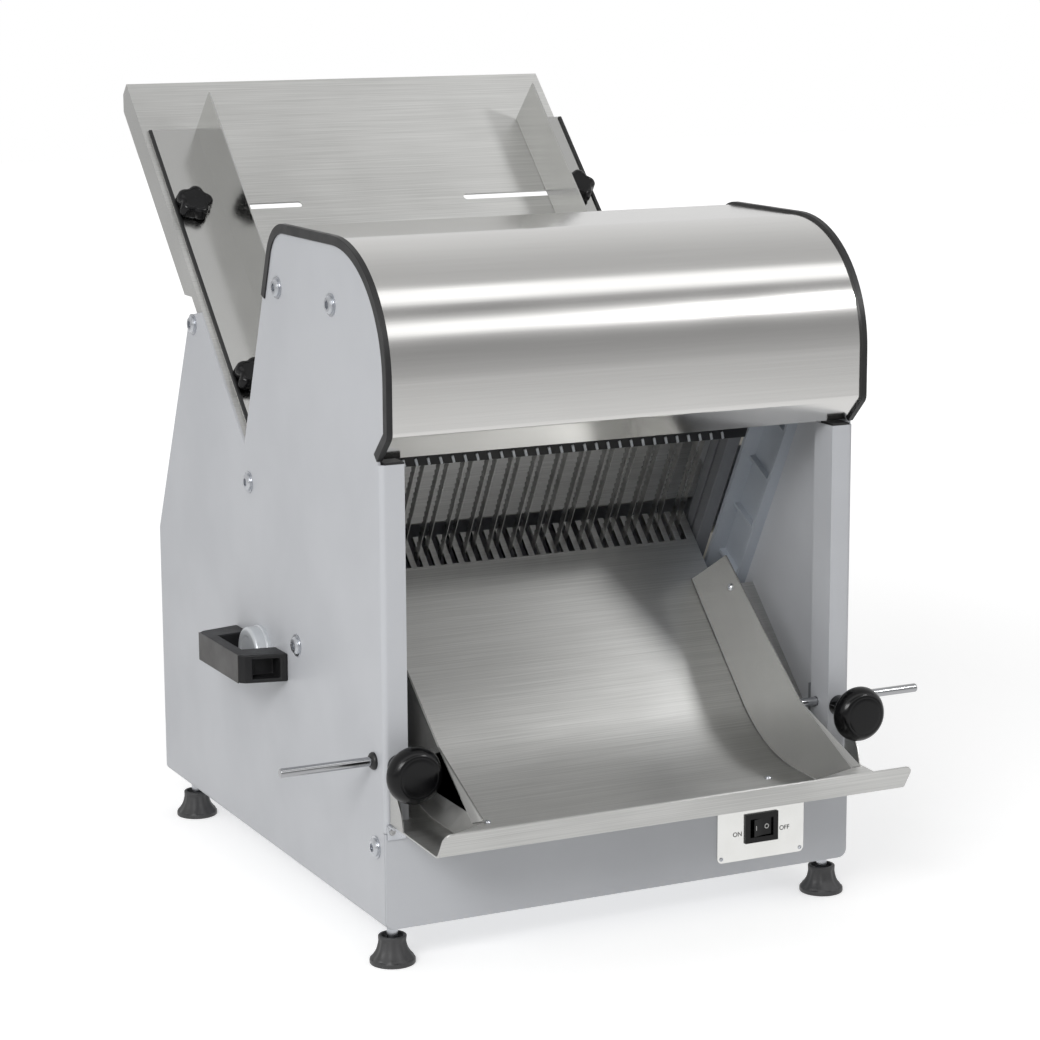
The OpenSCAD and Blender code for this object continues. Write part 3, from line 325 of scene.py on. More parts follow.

# %% [markdown]
# ## Every CAD node gets its finish
# model.glb gives each node a plain colour by material slot. The slot's name leads to the finish, so
# also what hides inside, such as the crank and the motor, is ready to be looked at.

# %% Dress the CAD nodes
record = frame["record"]
slot_of = {part["node"]: part["material_slot"] for part in record["subparts"]}
body_of = {node: body for body, nodes in record["behaviour"]["bodies"].items() for node in nodes}
for node, solid in frame["nodes"].items():
    solid.data.materials.clear()
    solid.data.materials.append(finishes[slot_of[node]])
print(len(frame["nodes"]), "nodes dressed in", len(set(slot_of.values())), "finishes")

# %% [markdown]
# ## Folded sheet, castings and mouldings
# A sharp CAD edge never catches the light, but a real folded or moulded edge always does. Each
# visible node is copied, its loose triangles are merged, its flat faces are joined, and a bevel of
# a fraction of a millimetre rounds what is left. The shape stays the CAD shape.

# %% Show a piece
SHARP = math.radians(35)


def show(name, mesh, body, slot, *nodes, look=None):
    """Makes a mesh a piece of the machine: smooth, finished, riding on its body."""
    piece = bpy.data.objects.new(name, mesh)
    bpy.context.scene.collection.objects.link(piece)
    mesh.materials.append(finishes[look or slot])
    mesh.polygons.foreach_set("use_smooth", [True] * len(mesh.polygons))
    mesh.set_sharp_from_angle(angle=SHARP)
    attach(piece, body)
    if nodes:
        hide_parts(*nodes)
    return piece


def mesh_from(form, name):
    mesh = bpy.data.meshes.new(name)
    form.to_mesh(mesh)
    form.free()
    return mesh


print("edges over", round(math.degrees(SHARP)), "degrees stay sharp")

# %% Copy with rounded edges
SAME_POINT, FLAT_ANGLE = 0.002 * MM, math.radians(0.4)
BEVEL_STEPS = 2
OWN_LOOK = {"left_hopper_guide": "guide_steel", "right_hopper_guide": "guide_steel",
            "left_chute_guide": "fence_steel", "right_chute_guide": "fence_steel"}


def clean_copy(node):
    """A CAD node's shape with its triangles merged and its flat faces joined."""
    form = bmesh.new()
    form.from_mesh(frame["nodes"][node].data)
    bmesh.ops.remove_doubles(form, verts=form.verts, dist=SAME_POINT)
    bmesh.ops.dissolve_limit(form, angle_limit=FLAT_ANGLE, verts=form.verts, edges=form.edges)
    return form


def lay_brush(form):
    """The UV map of satin steel: v runs along the machine's width, as the grinding lines do."""
    brush = form.loops.layers.uv.new("brush")
    for face in form.faces:
        across = face.normal.cross((1, 0, 0))
        for loop in face.loops:
            loop[brush].uv = (loop.vert.co.dot(across), loop.vert.co.x)


def rounded_copy(node, edge):
    form = clean_copy(node)
    if slot_of[node] == "satin_steel":
        lay_brush(form)
    name = node + "_form"
    piece = show(name, mesh_from(form, name), body_of[node], slot_of[node], node, look=OWN_LOOK.get(node))
    soft = piece.modifiers.new("rounded_edges", "BEVEL")
    soft.width, soft.segments = edge * MM, BEVEL_STEPS
    soft.limit_method, soft.angle_limit = "ANGLE", SHARP
    soft.harden_normals = True


trial = clean_copy("discharge_chute")
loose = frame["nodes"]["discharge_chute"].data.polygons
print("chute:", len(loose), "triangles become", len(trial.faces), "faces")
trial.free()

# %% Round each node's edges, by millimetres
ROUNDED = {
    0.3: ["discharge_chute", "hopper_tray", "left_hopper_guide", "right_hopper_guide", "left_chute_guide",
          "right_chute_guide", "rear_cover", "switch_plate", "post_seals"],
    0.4: ["left_side_panel", "right_side_panel", "front_panel", "blade_comb", "base_plate"],
    0.6: ["edge_trims", "left_blade_rail", "right_blade_rail", "front_blade_frame", "rear_blade_frame",
          "panel_bolts", "rod_clamps", "cable_gland"],
    1.0: ["left_guide_rod", "right_guide_rod", "switch_body", "switch_rocker"],
    1.5: ["left_handle", "right_handle"],
}
for edge, nodes in ROUNDED.items():
    for node in nodes:
        rounded_copy(node, edge)
print(sum(len(nodes) for nodes in ROUNDED.values()), "copies with rounded edges")

# %% [markdown]
# ## The hood
# The hood is one sheet of polished stainless steel, rolled over the blades. It is made the way the
# workshop makes it: a line that runs straight and turns about a bend, drawn out to the machine's
# width, then given its thickness. Spinning the bends keeps the reflections even.

# %% Bend a sheet
def corners(geometry):
    """The vertices among an operator's results."""
    return [part for part in geometry if isinstance(part, bmesh.types.BMVert)]


def bent_sheet(start, runs, x0, x1, thick):
    """runs holds ("to", y, z) for a straight run and ("turn", y, z, degrees, steps) for a bend."""
    form = bmesh.new()
    tip = form.verts.new(spot(x0, *start))
    for run in runs:
        if run[0] == "to":
            tip = bmesh.ops.extrude_vert_indiv(form, verts=[tip])["verts"][0]
            tip.co = spot(x0, *run[1:])
        else:
            bend = bmesh.ops.spin(form, geom=[tip], cent=spot(0, *run[1:3]), axis=(1, 0, 0),
                                  angle=math.radians(run[3]), steps=run[4])
            tip = bend["geom_last"][0]
    drawn = bmesh.ops.extrude_edge_only(form, edges=form.edges[:])["geom"]
    bmesh.ops.translate(form, vec=((x1 - x0) * MM, 0, 0), verts=corners(drawn))
    bmesh.ops.remove_doubles(form, verts=form.verts, dist=SAME_POINT)
    bmesh.ops.recalc_face_normals(form, faces=form.faces)
    bmesh.ops.solidify(form, geom=form.faces[:], thickness=thick * MM)
    return form


def settle(name, form, body, slot, *nodes, look=None):
    """Merges, turns outwards and shows a finished bmesh."""
    bmesh.ops.remove_doubles(form, verts=form.verts, dist=SAME_POINT)
    bmesh.ops.recalc_face_normals(form, faces=form.faces)
    return show(name, mesh_from(form, name), body, slot, *nodes, look=look)


trial = bent_sheet((0, 0), [("to", 0, 10), ("turn", 5, 10, -90, 4)], 0, 100, 1.0)
print("a strip with one bend in 4 steps has", len(trial.faces), "faces")
trial.free()

# %% The hood's line and sheet
HOOD_LEAN, HOOD_THICK, LINE_DEPTH = 21, 1.5, 1.0
REAR_BEND, REAR_R, TAIL = (207, 543), 40 - LINE_DEPTH, 44
FRONT_BEND, FRONT_R = (95, 471), 112 - LINE_DEPTH
CHIN, CHIN_R, CHIN_END = (-9, 431), 8 - LINE_DEPTH, 5 + LINE_DEPTH * math.sqrt(0.5)


def on_arc(centre, r, degrees):
    a = math.radians(degrees)
    return centre[0] + r * math.cos(a), centre[1] + r * math.sin(a)


hood_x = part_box("hood")[1].x / MM
lean = math.radians(HOOD_LEAN)
tail_top = on_arc(REAR_BEND, REAR_R, HOOD_LEAN)
tail_end = (tail_top[0] + TAIL * math.sin(lean), tail_top[1] - TAIL * math.cos(lean))
chin_low = on_arc(CHIN, CHIN_R, 225)
chin_run = CHIN_END - chin_low[0]
hood = bent_sheet(tail_end, [
    ("to", *tail_top), ("turn", *REAR_BEND, 90 - HOOD_LEAN, 20),
    ("to", *on_arc(FRONT_BEND, FRONT_R, 90)), ("turn", *FRONT_BEND, 90, 40),
    ("to", *on_arc(CHIN, CHIN_R, 180)), ("turn", *CHIN, 45, 8),
    ("to", chin_low[0] + chin_run, chin_low[1] - chin_run),
], -hood_x, hood_x, HOOD_THICK)
sheet = settle("hood_sheet", hood, "machine", "polished_steel", "hood")

# %% [markdown]
# ## Turned pieces
# Knobs, feet and bearing caps are turned or moulded in the round. A profile of a few points is
# rounded at its corners and spun about its axis, as on a lathe. A cylinder with bevels could not
# give the hollows and necks between.

# %% Lathe
def turned(profile, place, steps=56, form=None):
    """Spins (radius, height, corner rounding) points in mm about the place's z axis."""
    form = form or bmesh.new()
    known, known_edges = set(form.verts), set(form.edges)
    line = [form.verts.new((r * MM, 0, h * MM)) for r, h, _ in profile]
    for pair in zip(line, line[1:]):
        form.edges.new(pair)
    for corner, (_, _, radius) in zip(line, profile):
        if radius:
            bmesh.ops.bevel(form, geom=[corner], offset=radius * MM, offset_type="OFFSET", segments=6,
                            profile=0.5, affect="VERTICES", material=-1)
    fresh = [v for v in form.verts if v not in known]
    edges = [e for e in form.edges if e not in known_edges]
    bmesh.ops.spin(form, geom=fresh + edges, cent=(0, 0, 0), axis=(0, 0, 1), angle=2 * math.pi,
                   steps=steps, use_merge=True)
    bmesh.ops.transform(form, matrix=place, verts=[v for v in form.verts if v not in known])
    return form


trial = turned([(10, 0, 0), (10, 5, 0)], Matrix(), steps=8)
print("a line of 2 points spun in 8 steps has", len(trial.faces), "faces")
trial.free()

# %% [markdown]
# ## Clamp knobs
# A black mushroom knob on each post clamps the rod of a chute guide. It has a neck, a broad head
# with a round rim and a shallow ring on its face, and its screw goes into the post. One spun line
# gives the knob and a second one its screw.

# %% Clamp knobs
CLAMP_X, ROD_Z = HALF_W - 12, 145
KNOB = [(0, 0.3, 0), (9.5, 0.3, 0.8), (9.5, 21, 2), (13, 25.5, 2), (18.5, 26.6, 1.5), (25, 31.5, 3.5),
        (25, 40.5, 5.5), (18.5, 46.6, 2.5), (16.6, 46.1, 0.6), (14.5, 46.6, 1.5), (0, 47, 0)]
SCREW = [(0, -16.5, 0), (3.4, -16.5, 0), (4, -15.6, 0), (4, 2, 0), (0, 2, 0)]
for side, sign in SIDES:
    facing = Matrix.Translation(spot(sign * CLAMP_X, 0, ROD_Z)) @ turn(90, "X")
    knob = turned(KNOB, facing)
    knob = turned(SCREW, facing, steps=24, form=knob)
    settle(side + "_clamp_knob_grip", knob, side + "_clamp", "black_plastic", side + "_clamp_knob")

# %% [markdown]
# ## Bearing caps
# A round metal cap behind each handle closes the bearing of the rocker shaft. It is a low drum on a
# thin flange, with a sunken face, so it too is spun from one line.

# %% Bearing caps
CAP_Y, CAP_Z = 281, 183
CAP = [(0, 12, 0), (13, 12, 0), (13, 0, 0), (26, 0, 0), (26, 3.2, 0.4), (25, 3.6, 0.5), (25, 15, 3.2),
       (17, 15, 0.8), (16, 14.2, 0.5), (0, 14.2, 0)]
caps = None
for _, sign in SIDES:
    facing = Matrix.Translation(spot(sign * HALF_W, CAP_Y, CAP_Z)) @ turn(sign * 90, "Y")
    caps = turned(CAP, facing, steps=64, form=caps)
settle("bearing_cap_drums", caps, "machine", "cap_metal", "bearing_caps")

# %% [markdown]
# ## Star knobs
# The loaf guides are held by black plastic star knobs with five lobes on a washer. Five cylinders
# could be joined, but would crease where they meet. So the grip starts as a circle whose points are
# drawn in between the lobes, and is raised, drawn in at the top and rounded. The extrusions leave
# its underside open, so that is filled at the end.

# %% Star grip
LOBES, STAR_R, STAR_H, STEM = 5, 18.0, 13.0, 2.0
DIP, DIP_CURVE = 0.2, 1.3
STAR_STUD = [(0, -13.6, 0), (2.6, -13.6, 0), (3, -13, 0), (3, 0.2, 0), (0, 0.2, 0)]
RISES = ((1.2, 1.04), (STAR_H - 4.5, 0.94), (1.6, 0.95), (1.1, 0.9), (0.3, 0.86), (-0.5, 0.96))


def star_knob(place):
    form = turned(STAR_STUD, Matrix(), steps=20)
    ring = bmesh.ops.create_circle(form, cap_ends=True, radius=STAR_R * MM, segments=80)["verts"]
    for v in ring:
        between = 0.5 - 0.5 * math.cos(LOBES * math.atan2(v.co.y, v.co.x))
        v.co *= 1 - DIP * between ** DIP_CURVE
        v.co.z = STEM * MM
    grip = ring[0].link_faces[0]
    for rise, scale in RISES:
        grip = bmesh.ops.extrude_discrete_faces(form, faces=[grip])["faces"][0]
        middle = Matrix.Translation((0, 0, -grip.verts[0].co.z))
        bmesh.ops.scale(form, vec=(scale, scale, 1), space=middle, verts=grip.verts)
        bmesh.ops.translate(form, vec=(0, 0, rise * MM), verts=grip.verts)
    bmesh.ops.holes_fill(form, edges=[e for e in form.edges if e.is_boundary], sides=0)
    bmesh.ops.transform(form, matrix=place, verts=form.verts)
    return form


trial = star_knob(Matrix())
print("a star knob has", len(trial.faces), "faces")
trial.free()

# %% Four star knobs on their washers
STAR_ROWS, STAR_COLUMNS = (("lower", 517), ("upper", 728)), (("left", -203), ("right", 215))
SHEET, GAP = 1.5, 0.3
WASHER = [(3.2, 0, 0), (12.5, 0, 0.3), (12.5, STEM - 0.6, 0.5), (9.5, STEM, 0.3), (3.2, STEM, 0), (3.2, 0, 0)]
for height, s in STAR_ROWS:
    for side, x in STAR_COLUMNS:
        name = height + "_" + side + "_star"
        place = SLIDE @ shift(x, s, SHEET + 2 * GAP)
        settle(name + "_grip", star_knob(place), name, "black_plastic", name + "_knob")
        settle(name + "_washer", turned(WASHER, place, steps=40), name, "zinc_steel")

# %% [markdown]
# ## Levelling feet
# Each foot is a moulded bell with shallow flutes, a cup at its top, and a zinc-plated stud. Flutes
# could be cut out, which leaves slivers. Here the bell is spun and the points of its flank are
# drawn in, so the faces stay even.

# %% Feet
FOOT_H, FOOT_X = 36.0, 216
FOOT_ROWS = (("front", 20), ("rear", 511))
FLUTES, FLUTE_DEPTH = 9, 0.07
FLANK_LOW, FLANK_TOP, FLANK_R = 4.6, 21, 11 * MM
BELL = [(0, 0, 0), (20, 0, 0.8), (20, 4.8, 2.0), (15.4, 9.5, 3.5), (13, 15.5, 4), (12.3, 20, 1),
        (12.5, 25, 1.2), (9.6, 25, 0.6), (9.2, 21, 0.5), (0, 21, 0)]
STUD = [(0, 20, 0), (4.9, 20, 0), (4.9, 54, 0), (0, 54, 0)]
for row, y in FOOT_ROWS:
    for side, sign in SIDES:
        node, body = f"{row}_{side}_foot", f"foot_{row[0]}{side[0]}"
        place = Matrix.Translation(spot(sign * FOOT_X, y, -FOOT_H))
        bell = turned(BELL, Matrix(), steps=96)
        for v in bell.verts:
            if FLANK_LOW < v.co.z / MM < FLANK_TOP and v.co.to_2d().length > FLANK_R:
                flute = 0.5 - 0.5 * math.cos(FLUTES * math.atan2(v.co.y, v.co.x))
                v.co.xy *= 1 - FLUTE_DEPTH * flute
        bmesh.ops.transform(bell, matrix=place, verts=bell.verts)
        settle(node + "_bell", bell, body, "foot_rubber", node)
        settle(node + "_stud", turned(STUD, place, steps=24), body, "zinc_steel")

# %% [markdown]
# ## Small fittings
# Screws, collars and the printed ON and OFF are too small for the solids, yet they make a machine
# look built. A place typed in by hand would miss a sloping surface, so a ray finds what carries a
# screw or a mark. Flat strips are slabs with rounded edges, because a bare cube looks cut out.

# %% Find a surface
DOWN, UP, BACK, OUT_LEFT, OUT_RIGHT = (0, 0, -1), (0, 0, 1), (0, 1, 0), (-1, 0, 0), (1, 0, 0)


def touch(node, start, direction):
    """Where a ray meets a node: a place whose z axis points out of the surface."""
    mesh = frame["nodes"][node].data
    skin = BVHTree.FromPolygons([v.co for v in mesh.vertices], [p.vertices for p in mesh.polygons])
    point, normal, _, _ = skin.ray_cast(start, Vector(direction))
    return Matrix.Translation(point) @ normal.to_track_quat("Z", "Y").to_matrix().to_4x4()


def slab(place, size, edge, form=None):
    """A flat strip with rounded edges, standing on the place's z plane."""
    form = form or bmesh.new()
    known, known_edges = set(form.verts), set(form.edges)
    made = bmesh.ops.create_cube(form, size=1)["verts"]
    bmesh.ops.scale(form, vec=Vector(size) * MM, verts=made)
    bmesh.ops.translate(form, vec=(0, 0, size[2] / 2 * MM), verts=made)
    edges = [e for e in form.edges if e not in known_edges]
    bmesh.ops.bevel(form, geom=edges, offset=edge * MM, offset_type="OFFSET", segments=2, profile=0.5,
                    affect="EDGES", material=-1)
    bmesh.ops.transform(form, matrix=place, verts=[v for v in form.verts if v not in known])
    return form


trial = slab(Matrix(), (10, 10, 2), 0.3)
print("a slab with rounded edges has", len(trial.faces), "faces")
trial.free()

# %% [markdown]
# ## Screws
# Pan heads with a dimple for the driver hold the chute, its guides and the switch plate. Each could
# have a profile of its own, but one for a head of radius 1, spun at each screw's size, is enough.

# %% Screws
HEAD = [(0, 0.25), (0.35, 0.25), (0.42, 0.55), (0.8, 0.5), (1.0, 0.2), (1.0, -0.1), (0, -0.1)]
HEAD_RIM, RIM_ROUND = 0.9, 0.05
CHUTE_SCREW, GUIDE_SCREW, PLATE_SCREW, PLATE_INSET = 3.2, 3.6, 1.9, 4 * MM
BEFORE = -1.0  # y in metres, in front of the whole machine
plate_low, plate_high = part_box("switch_plate")


def screw_head(radius, rim, place):
    profile = [(r * radius, h * radius, rim if r > HEAD_RIM else 0) for r, h in HEAD]
    return turned(profile, place, steps=28)


SCREWS = [("discharge_chute", spot(129, -28, 200), DOWN, CHUTE_SCREW),
          ("discharge_chute", spot(-151, -35, 200), DOWN, CHUTE_SCREW),
          ("right_chute_guide", spot(0, 101, 240), OUT_RIGHT, GUIDE_SCREW),
          ("left_chute_guide", spot(0, 101, 240), OUT_LEFT, GUIDE_SCREW)]
for x in (plate_low.x + PLATE_INSET, plate_high.x - PLATE_INSET):
    SCREWS.append(("switch_plate", Vector((x, BEFORE, plate_low.z + PLATE_INSET)), BACK, PLATE_SCREW))
for count, (node, start, direction, radius) in enumerate(SCREWS):
    head = screw_head(radius, RIM_ROUND, touch(node, start, direction))
    settle(f"{node}_screw_{count}", head, body_of[node], "zinc_steel")
print(len(SCREWS), "screws")

# %% [markdown]
# ## Rod collars
# Where a guide rod leaves the side panel, a small rubber collar lines the hole. It is a ring, so
# its profile is a closed line that stays clear of the axis when it is spun.

# %% Rod collars
ROD_Y = 21
COLLAR = [(4.2, 0, 0), (7.6, 0, 0.4), (7.6, 2.4, 1.0), (5.4, 4.2, 0.6), (4.2, 4.2, 0.3), (4.2, 0, 0)]
for side, sign in SIDES:
    facing = Matrix.Translation(spot(sign * HALF_W, ROD_Y, ROD_Z)) @ turn(sign * 90, "Y")
    settle(side + "_rod_collar", turned(COLLAR, facing, steps=40), "machine", "trim_rubber")
print("collars at z", round(spot(0, ROD_Y, ROD_Z).z, 4))

# %% [markdown]
# ## Chute brackets
# Two small steel angles carry the chute's lip on the posts, each with one bolt. An angle could be
# bent as the hood is, but at this size two slabs that meet at the corner look the same. The shelf
# goes where a ray from below meets the chute.

# %% Chute brackets
BRACKET_X, BRACKET_W, BRACKET_T, BRACKET_EDGE = 220, 17, 1.6, 0.3
SHELF_Y, SHELF_D, SHELF_SINK = -7.2, 14, 0.2
LEG_Y, LEG_H, LEG_DROP = -1, 13.5, 14
FEEL_X, FEEL_Y, FEEL_Z = 218, -8, 60
BOLT_X, BOLT_Y, BOLT_DROP, BOLT_R = 224, -1.8, 7, 3
for side, sign in SIDES:
    under = touch("discharge_chute", spot(sign * FEEL_X, FEEL_Y, FEEL_Z), UP).translation.z
    top = (under - PANEL_Z) / MM - SHELF_SINK
    shelf = Matrix.Translation(spot(sign * BRACKET_X, SHELF_Y, top - BRACKET_T))
    leg = Matrix.Translation(spot(sign * BRACKET_X, LEG_Y, top - LEG_DROP))
    bolt = Matrix.Translation(spot(sign * BOLT_X, BOLT_Y, top - BOLT_DROP)) @ turn(90, "X")
    form = slab(shelf, (BRACKET_W, SHELF_D, BRACKET_T), BRACKET_EDGE)
    form = slab(leg, (BRACKET_W, BRACKET_T, LEG_H), BRACKET_EDGE, form)
    settle(side + "_chute_bracket", form, "machine", "zinc_steel")
    settle(side + "_bracket_bolt", screw_head(BOLT_R, 0, bolt), "machine", "machined_steel")
    print(side, "bracket below the chute at", round(under, 4))

# %% [markdown]
# ## Painted shadow along the loaf guides
# The shade in the gap under the outer edge of each loaf guide's flat leg is painted as a black strip
# in the rubber finish. Its numbers could be copied from the drawing, but the leg's own points, seen in
# the tray's frame, give its place and length, so it follows the CAD guide.

# %% Painted shadow strips
STRIP_W, STRIP_H, STRIP_EDGE, STRIP_INSET, STRIP_SHORT = 3.6, 1.9, 0.6, 2, 2
LEG_BELOW, EDGE_BAND, SEAT = 4, 0.5, 0.1
for side, sign in SIDES:
    node = side + "_hopper_guide"
    points = [SLIDE.inverted() @ v.co / MM for v in frame["nodes"][node].data.vertices]
    leg = [p for p in points if p.z < LEG_BELOW]
    edge_x = max(p.x * sign for p in leg)
    on_edge = [p.y for p in leg if p.x * sign > edge_x - EDGE_BAND]
    s0, s1 = min(on_edge), max(on_edge)
    place = SLIDE @ shift(sign * (edge_x - STRIP_INSET), (s0 + s1) / 2, max(p.z for p in leg) - SEAT)
    strip = slab(place, (STRIP_W, s1 - s0 - STRIP_SHORT, STRIP_H), STRIP_EDGE)
    # Painted shadow: a black strip where the gap under the leg's edge lies in shade.
    settle(side + "_guide_shadow_strip", strip, body_of[node], "trim_rubber")
    print(side, "guide strip from", round(s0), "to", round(s1), "mm up the slide")

# %% [markdown]
# ## Hold-down comb
# A black strip spans the two rails, just in front of the moving frames. Its short fingers show
# below the hood's chin, one in each gap between two blades. The photograph gives only a line of
# sight to it, so the comb goes where that line meets a plane that clears the front frame.

# %% Where the comb stands
RAIL_LEAN, CLEAR_OF_FRAME = math.radians(29), 6.9
SEEN_AT = spot(0, 5.7, 404.5)
along = Vector((0, -math.sin(RAIL_LEAN), math.cos(RAIL_LEAN)))
towards = Vector((1, 0, 0)).cross(along)
spines = max(v.co.dot(towards) for v in frame["nodes"]["front_blades"].data.vertices)
sight = SEEN_AT - EYE
meet = EYE + sight * ((spines + CLEAR_OF_FRAME * MM - EYE.dot(towards)) / sight.dot(towards))
rake = Matrix.Translation((0, meet.y, meet.z)) @ Matrix(((1, 0, 0), along, towards)).transposed().to_4x4()
print("hold-down comb at", [round(v, 4) for v in meet])

# %% Strip and fingers
COMB_H, COMB_T, COMB_EDGE, COMB_UP, COMB_OUT = 19, 0.8, 0.2, 2, 0.5
PITCH, FINGERS, FINGER_SLANT = 12, 31, 24
FINGER, FINGER_EDGE, FINGER_UP, FINGER_OUT = (2.4, 8.5, 1.4), 0.3, -2.5, 1.2
span = 2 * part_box("right_blade_rail")[0].x / MM
strip = slab(rake @ shift(0, COMB_UP, COMB_OUT), (span, COMB_H, COMB_T), COMB_EDGE)
settle("hold_down_strip", strip, "machine", "trim_rubber")
fingers = None
for count in range(FINGERS):
    place = rake @ shift((count - FINGERS // 2) * PITCH, FINGER_UP, FINGER_OUT)
    fingers = slab(place @ turn(FINGER_SLANT, "Z"), FINGER, FINGER_EDGE, fingers)
settle("hold_down_fingers", fingers, "machine", "cap_metal")
print(FINGERS, "fingers on a strip of", round(span), "mm")

# %% [markdown]
# ## Painted highlights on the grips
# The light on each bow handle's outer face is painted as a dull grey sheet, inside a narrow black
# rim. The sheet is cut from the handle's own face: everything else is deleted, the rim is inset and
# dropped, and the rest is raised by a hair, so that its outline follows the handle.

# %% Painted highlights on the grips
OUTWARD, FACE_BAND = 0.95, 0.3
RIM, HIGHLIGHT_SUNK, HIGHLIGHT_T = 1.4, 0.5, 0.8
for side, sign in SIDES:
    node = side + "_handle"
    form = clean_copy(node)
    far_x = max(v.co.x * sign for v in form.verts) - FACE_BAND * MM
    rest = [f for f in form.faces
            if f.normal.x * sign < OUTWARD or f.calc_center_median().x * sign < far_x]
    bmesh.ops.delete(form, geom=rest, context="FACES")
    rim = bmesh.ops.inset_region(form, faces=form.faces[:], thickness=RIM * MM, use_even_offset=True)["faces"]
    bmesh.ops.delete(form, geom=rim, context="FACES")
    bmesh.ops.translate(form, vec=(-sign * HIGHLIGHT_SUNK * MM, 0, 0), verts=form.verts)
    raised = bmesh.ops.extrude_face_region(form, geom=form.faces[:], use_keep_orig=True)["geom"]
    bmesh.ops.translate(form, vec=(sign * HIGHLIGHT_T * MM, 0, 0), verts=corners(raised))
    print(node, "inlay with", len(form.faces), "faces")
    # Painted highlight: the raised grey sheet stands for light on the handle's outer face.
    settle(node + "_inlay", form, body_of[node], "handle_plastic", look="painted_grip_highlight")

# %% [markdown]
# ## Switch marks
# The plate beside the rocker is printed with ON and OFF, and the rocker itself bears a bar and a
# ring. Blender's own text is made a mesh a tenth of a millimetre thick, which stays sharp at any
# distance where a painted texture would blur.

# %% Words on the plate
WORDS, WORD_H, WORD_Z = (("ON", -24.5), ("OFF", 24.5)), 4.2, 25
CAPITAL, INK, BOLD, OFF_PLATE = 0.7, 0.08 * MM, 0.05 * MM, 0.02 * MM
plate_x = (plate_low.x + plate_high.x) / 2
for word, x in WORDS:
    curve = bpy.data.curves.new(word, "FONT")
    curve.body, curve.size, curve.extrude, curve.offset = word, WORD_H / CAPITAL * MM, INK, BOLD
    curve.align_x, curve.align_y = "CENTER", "CENTER"
    draft = bpy.data.objects.new(word, curve)
    bpy.context.scene.collection.objects.link(draft)
    form = bmesh.new()
    form.from_mesh(draft.evaluated_get(bpy.context.evaluated_depsgraph_get()).to_mesh())
    bpy.data.objects.remove(draft)
    centre = Vector((plate_x + x * MM, plate_low.y - OFF_PLATE, plate_low.z + WORD_Z * MM))
    bmesh.ops.transform(form, matrix=Matrix.Translation(centre) @ turn(90, "X"), verts=form.verts)
    print(word, "with", len(form.faces), "faces")
    settle("label_" + word.lower(), form, "machine", "black_plastic")

# %% Marks on the rocker
MARK_X, MARK_SUNK = 6 * MM, 0.2
RING = [(1.5, -MARK_SUNK, 0), (2.3, -MARK_SUNK, 0), (2.3, 0.12, 0), (1.5, 0.12, 0), (1.5, -MARK_SUNK, 0)]
BAR, BAR_EDGE = (0.8, 4.4, 0.32), 0.08
rocker_z = sum(corner.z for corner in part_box("switch_rocker")) / 2
off_place, on_place = (touch("switch_rocker", Vector((plate_x + x, BEFORE, rocker_z)), BACK)
                       for x in (MARK_X, -MARK_X))
for name, form in (("off_mark", turned(RING, off_place, steps=32)),
                   ("on_mark", slab(on_place @ shift(0, 0, -MARK_SUNK), BAR, BAR_EDGE))):
    settle(name, form, body_of["switch_rocker"], "black_plastic", look="mark_white")
    print(name, "on the rocker")

# %% [markdown]
# ## Studio surroundings
# The hood mirrors the studio: two long bright strips, grey between them, and paper below and
# behind. Lamps could make the strips, but they would also light the matt paint. Mirror-like rays
# therefore see strips painted by the angle round the machine's length, matt surfaces see an even
# grey room, and the camera itself sees plain white.

# %% Strips by angle
STUDIO = [(0, 0.46), (10, 0.38), (17, 0.34), (22, 0.34), (29, 0.46), (35, 1.5), (41, 1.5), (47, 0.62),
          (52, 0.34), (58, 0.36), (64, 1.5), (74.5, 1.5), (79, 0.58), (92, 0.56), (105, 0.6), (118, 0.67),
          (132, 0.74), (144, 0.77), (156, 0.78), (168, 0.76), (180, 0.78)]
STRIP_PEAK = 1.5


def level_ramp(tree, stops, peak):
    """A grey ramp from (position 0..1, brightness) pairs, scaled so that the peak is white."""
    ramp = add_node(tree, "ValToRGB")
    while len(ramp.color_ramp.elements) < len(stops):
        ramp.color_ramp.elements.new(0.5)
    for stop, (position, brightness) in zip(ramp.color_ramp.elements, stops):
        stop.position = position
        stop.color = (brightness / peak,) * 3 + (1.0,)
    return ramp


world = bpy.data.worlds.new("studio")
bpy.context.scene.world = world
world.use_nodes = True
tree = world.node_tree
tree.nodes.clear()
link = tree.links.new
ray = add_node(tree, "TexCoord")
split = add_node(tree, "SeparateXYZ")
link(ray.outputs["Generated"], split.inputs[0])
front = add_node(tree, "Math", "MULTIPLY")
front.inputs[1].default_value = -1.0
link(split.outputs["Y"], front.inputs[0])
angle = add_node(tree, "Math", "ARCTAN2")
link(split.outputs["Z"], angle.inputs[0])
link(front.outputs[0], angle.inputs[1])
half_turn = add_node(tree, "MapRange", From_Max=math.pi)
link(angle.outputs[0], half_turn.inputs["Value"])
strips = level_ramp(tree, [(degrees / 180, brightness) for degrees, brightness in STUDIO], STRIP_PEAK)
link(half_turn.outputs["Result"], strips.inputs["Fac"])
print("studio ramp with", len(STUDIO), "stops")

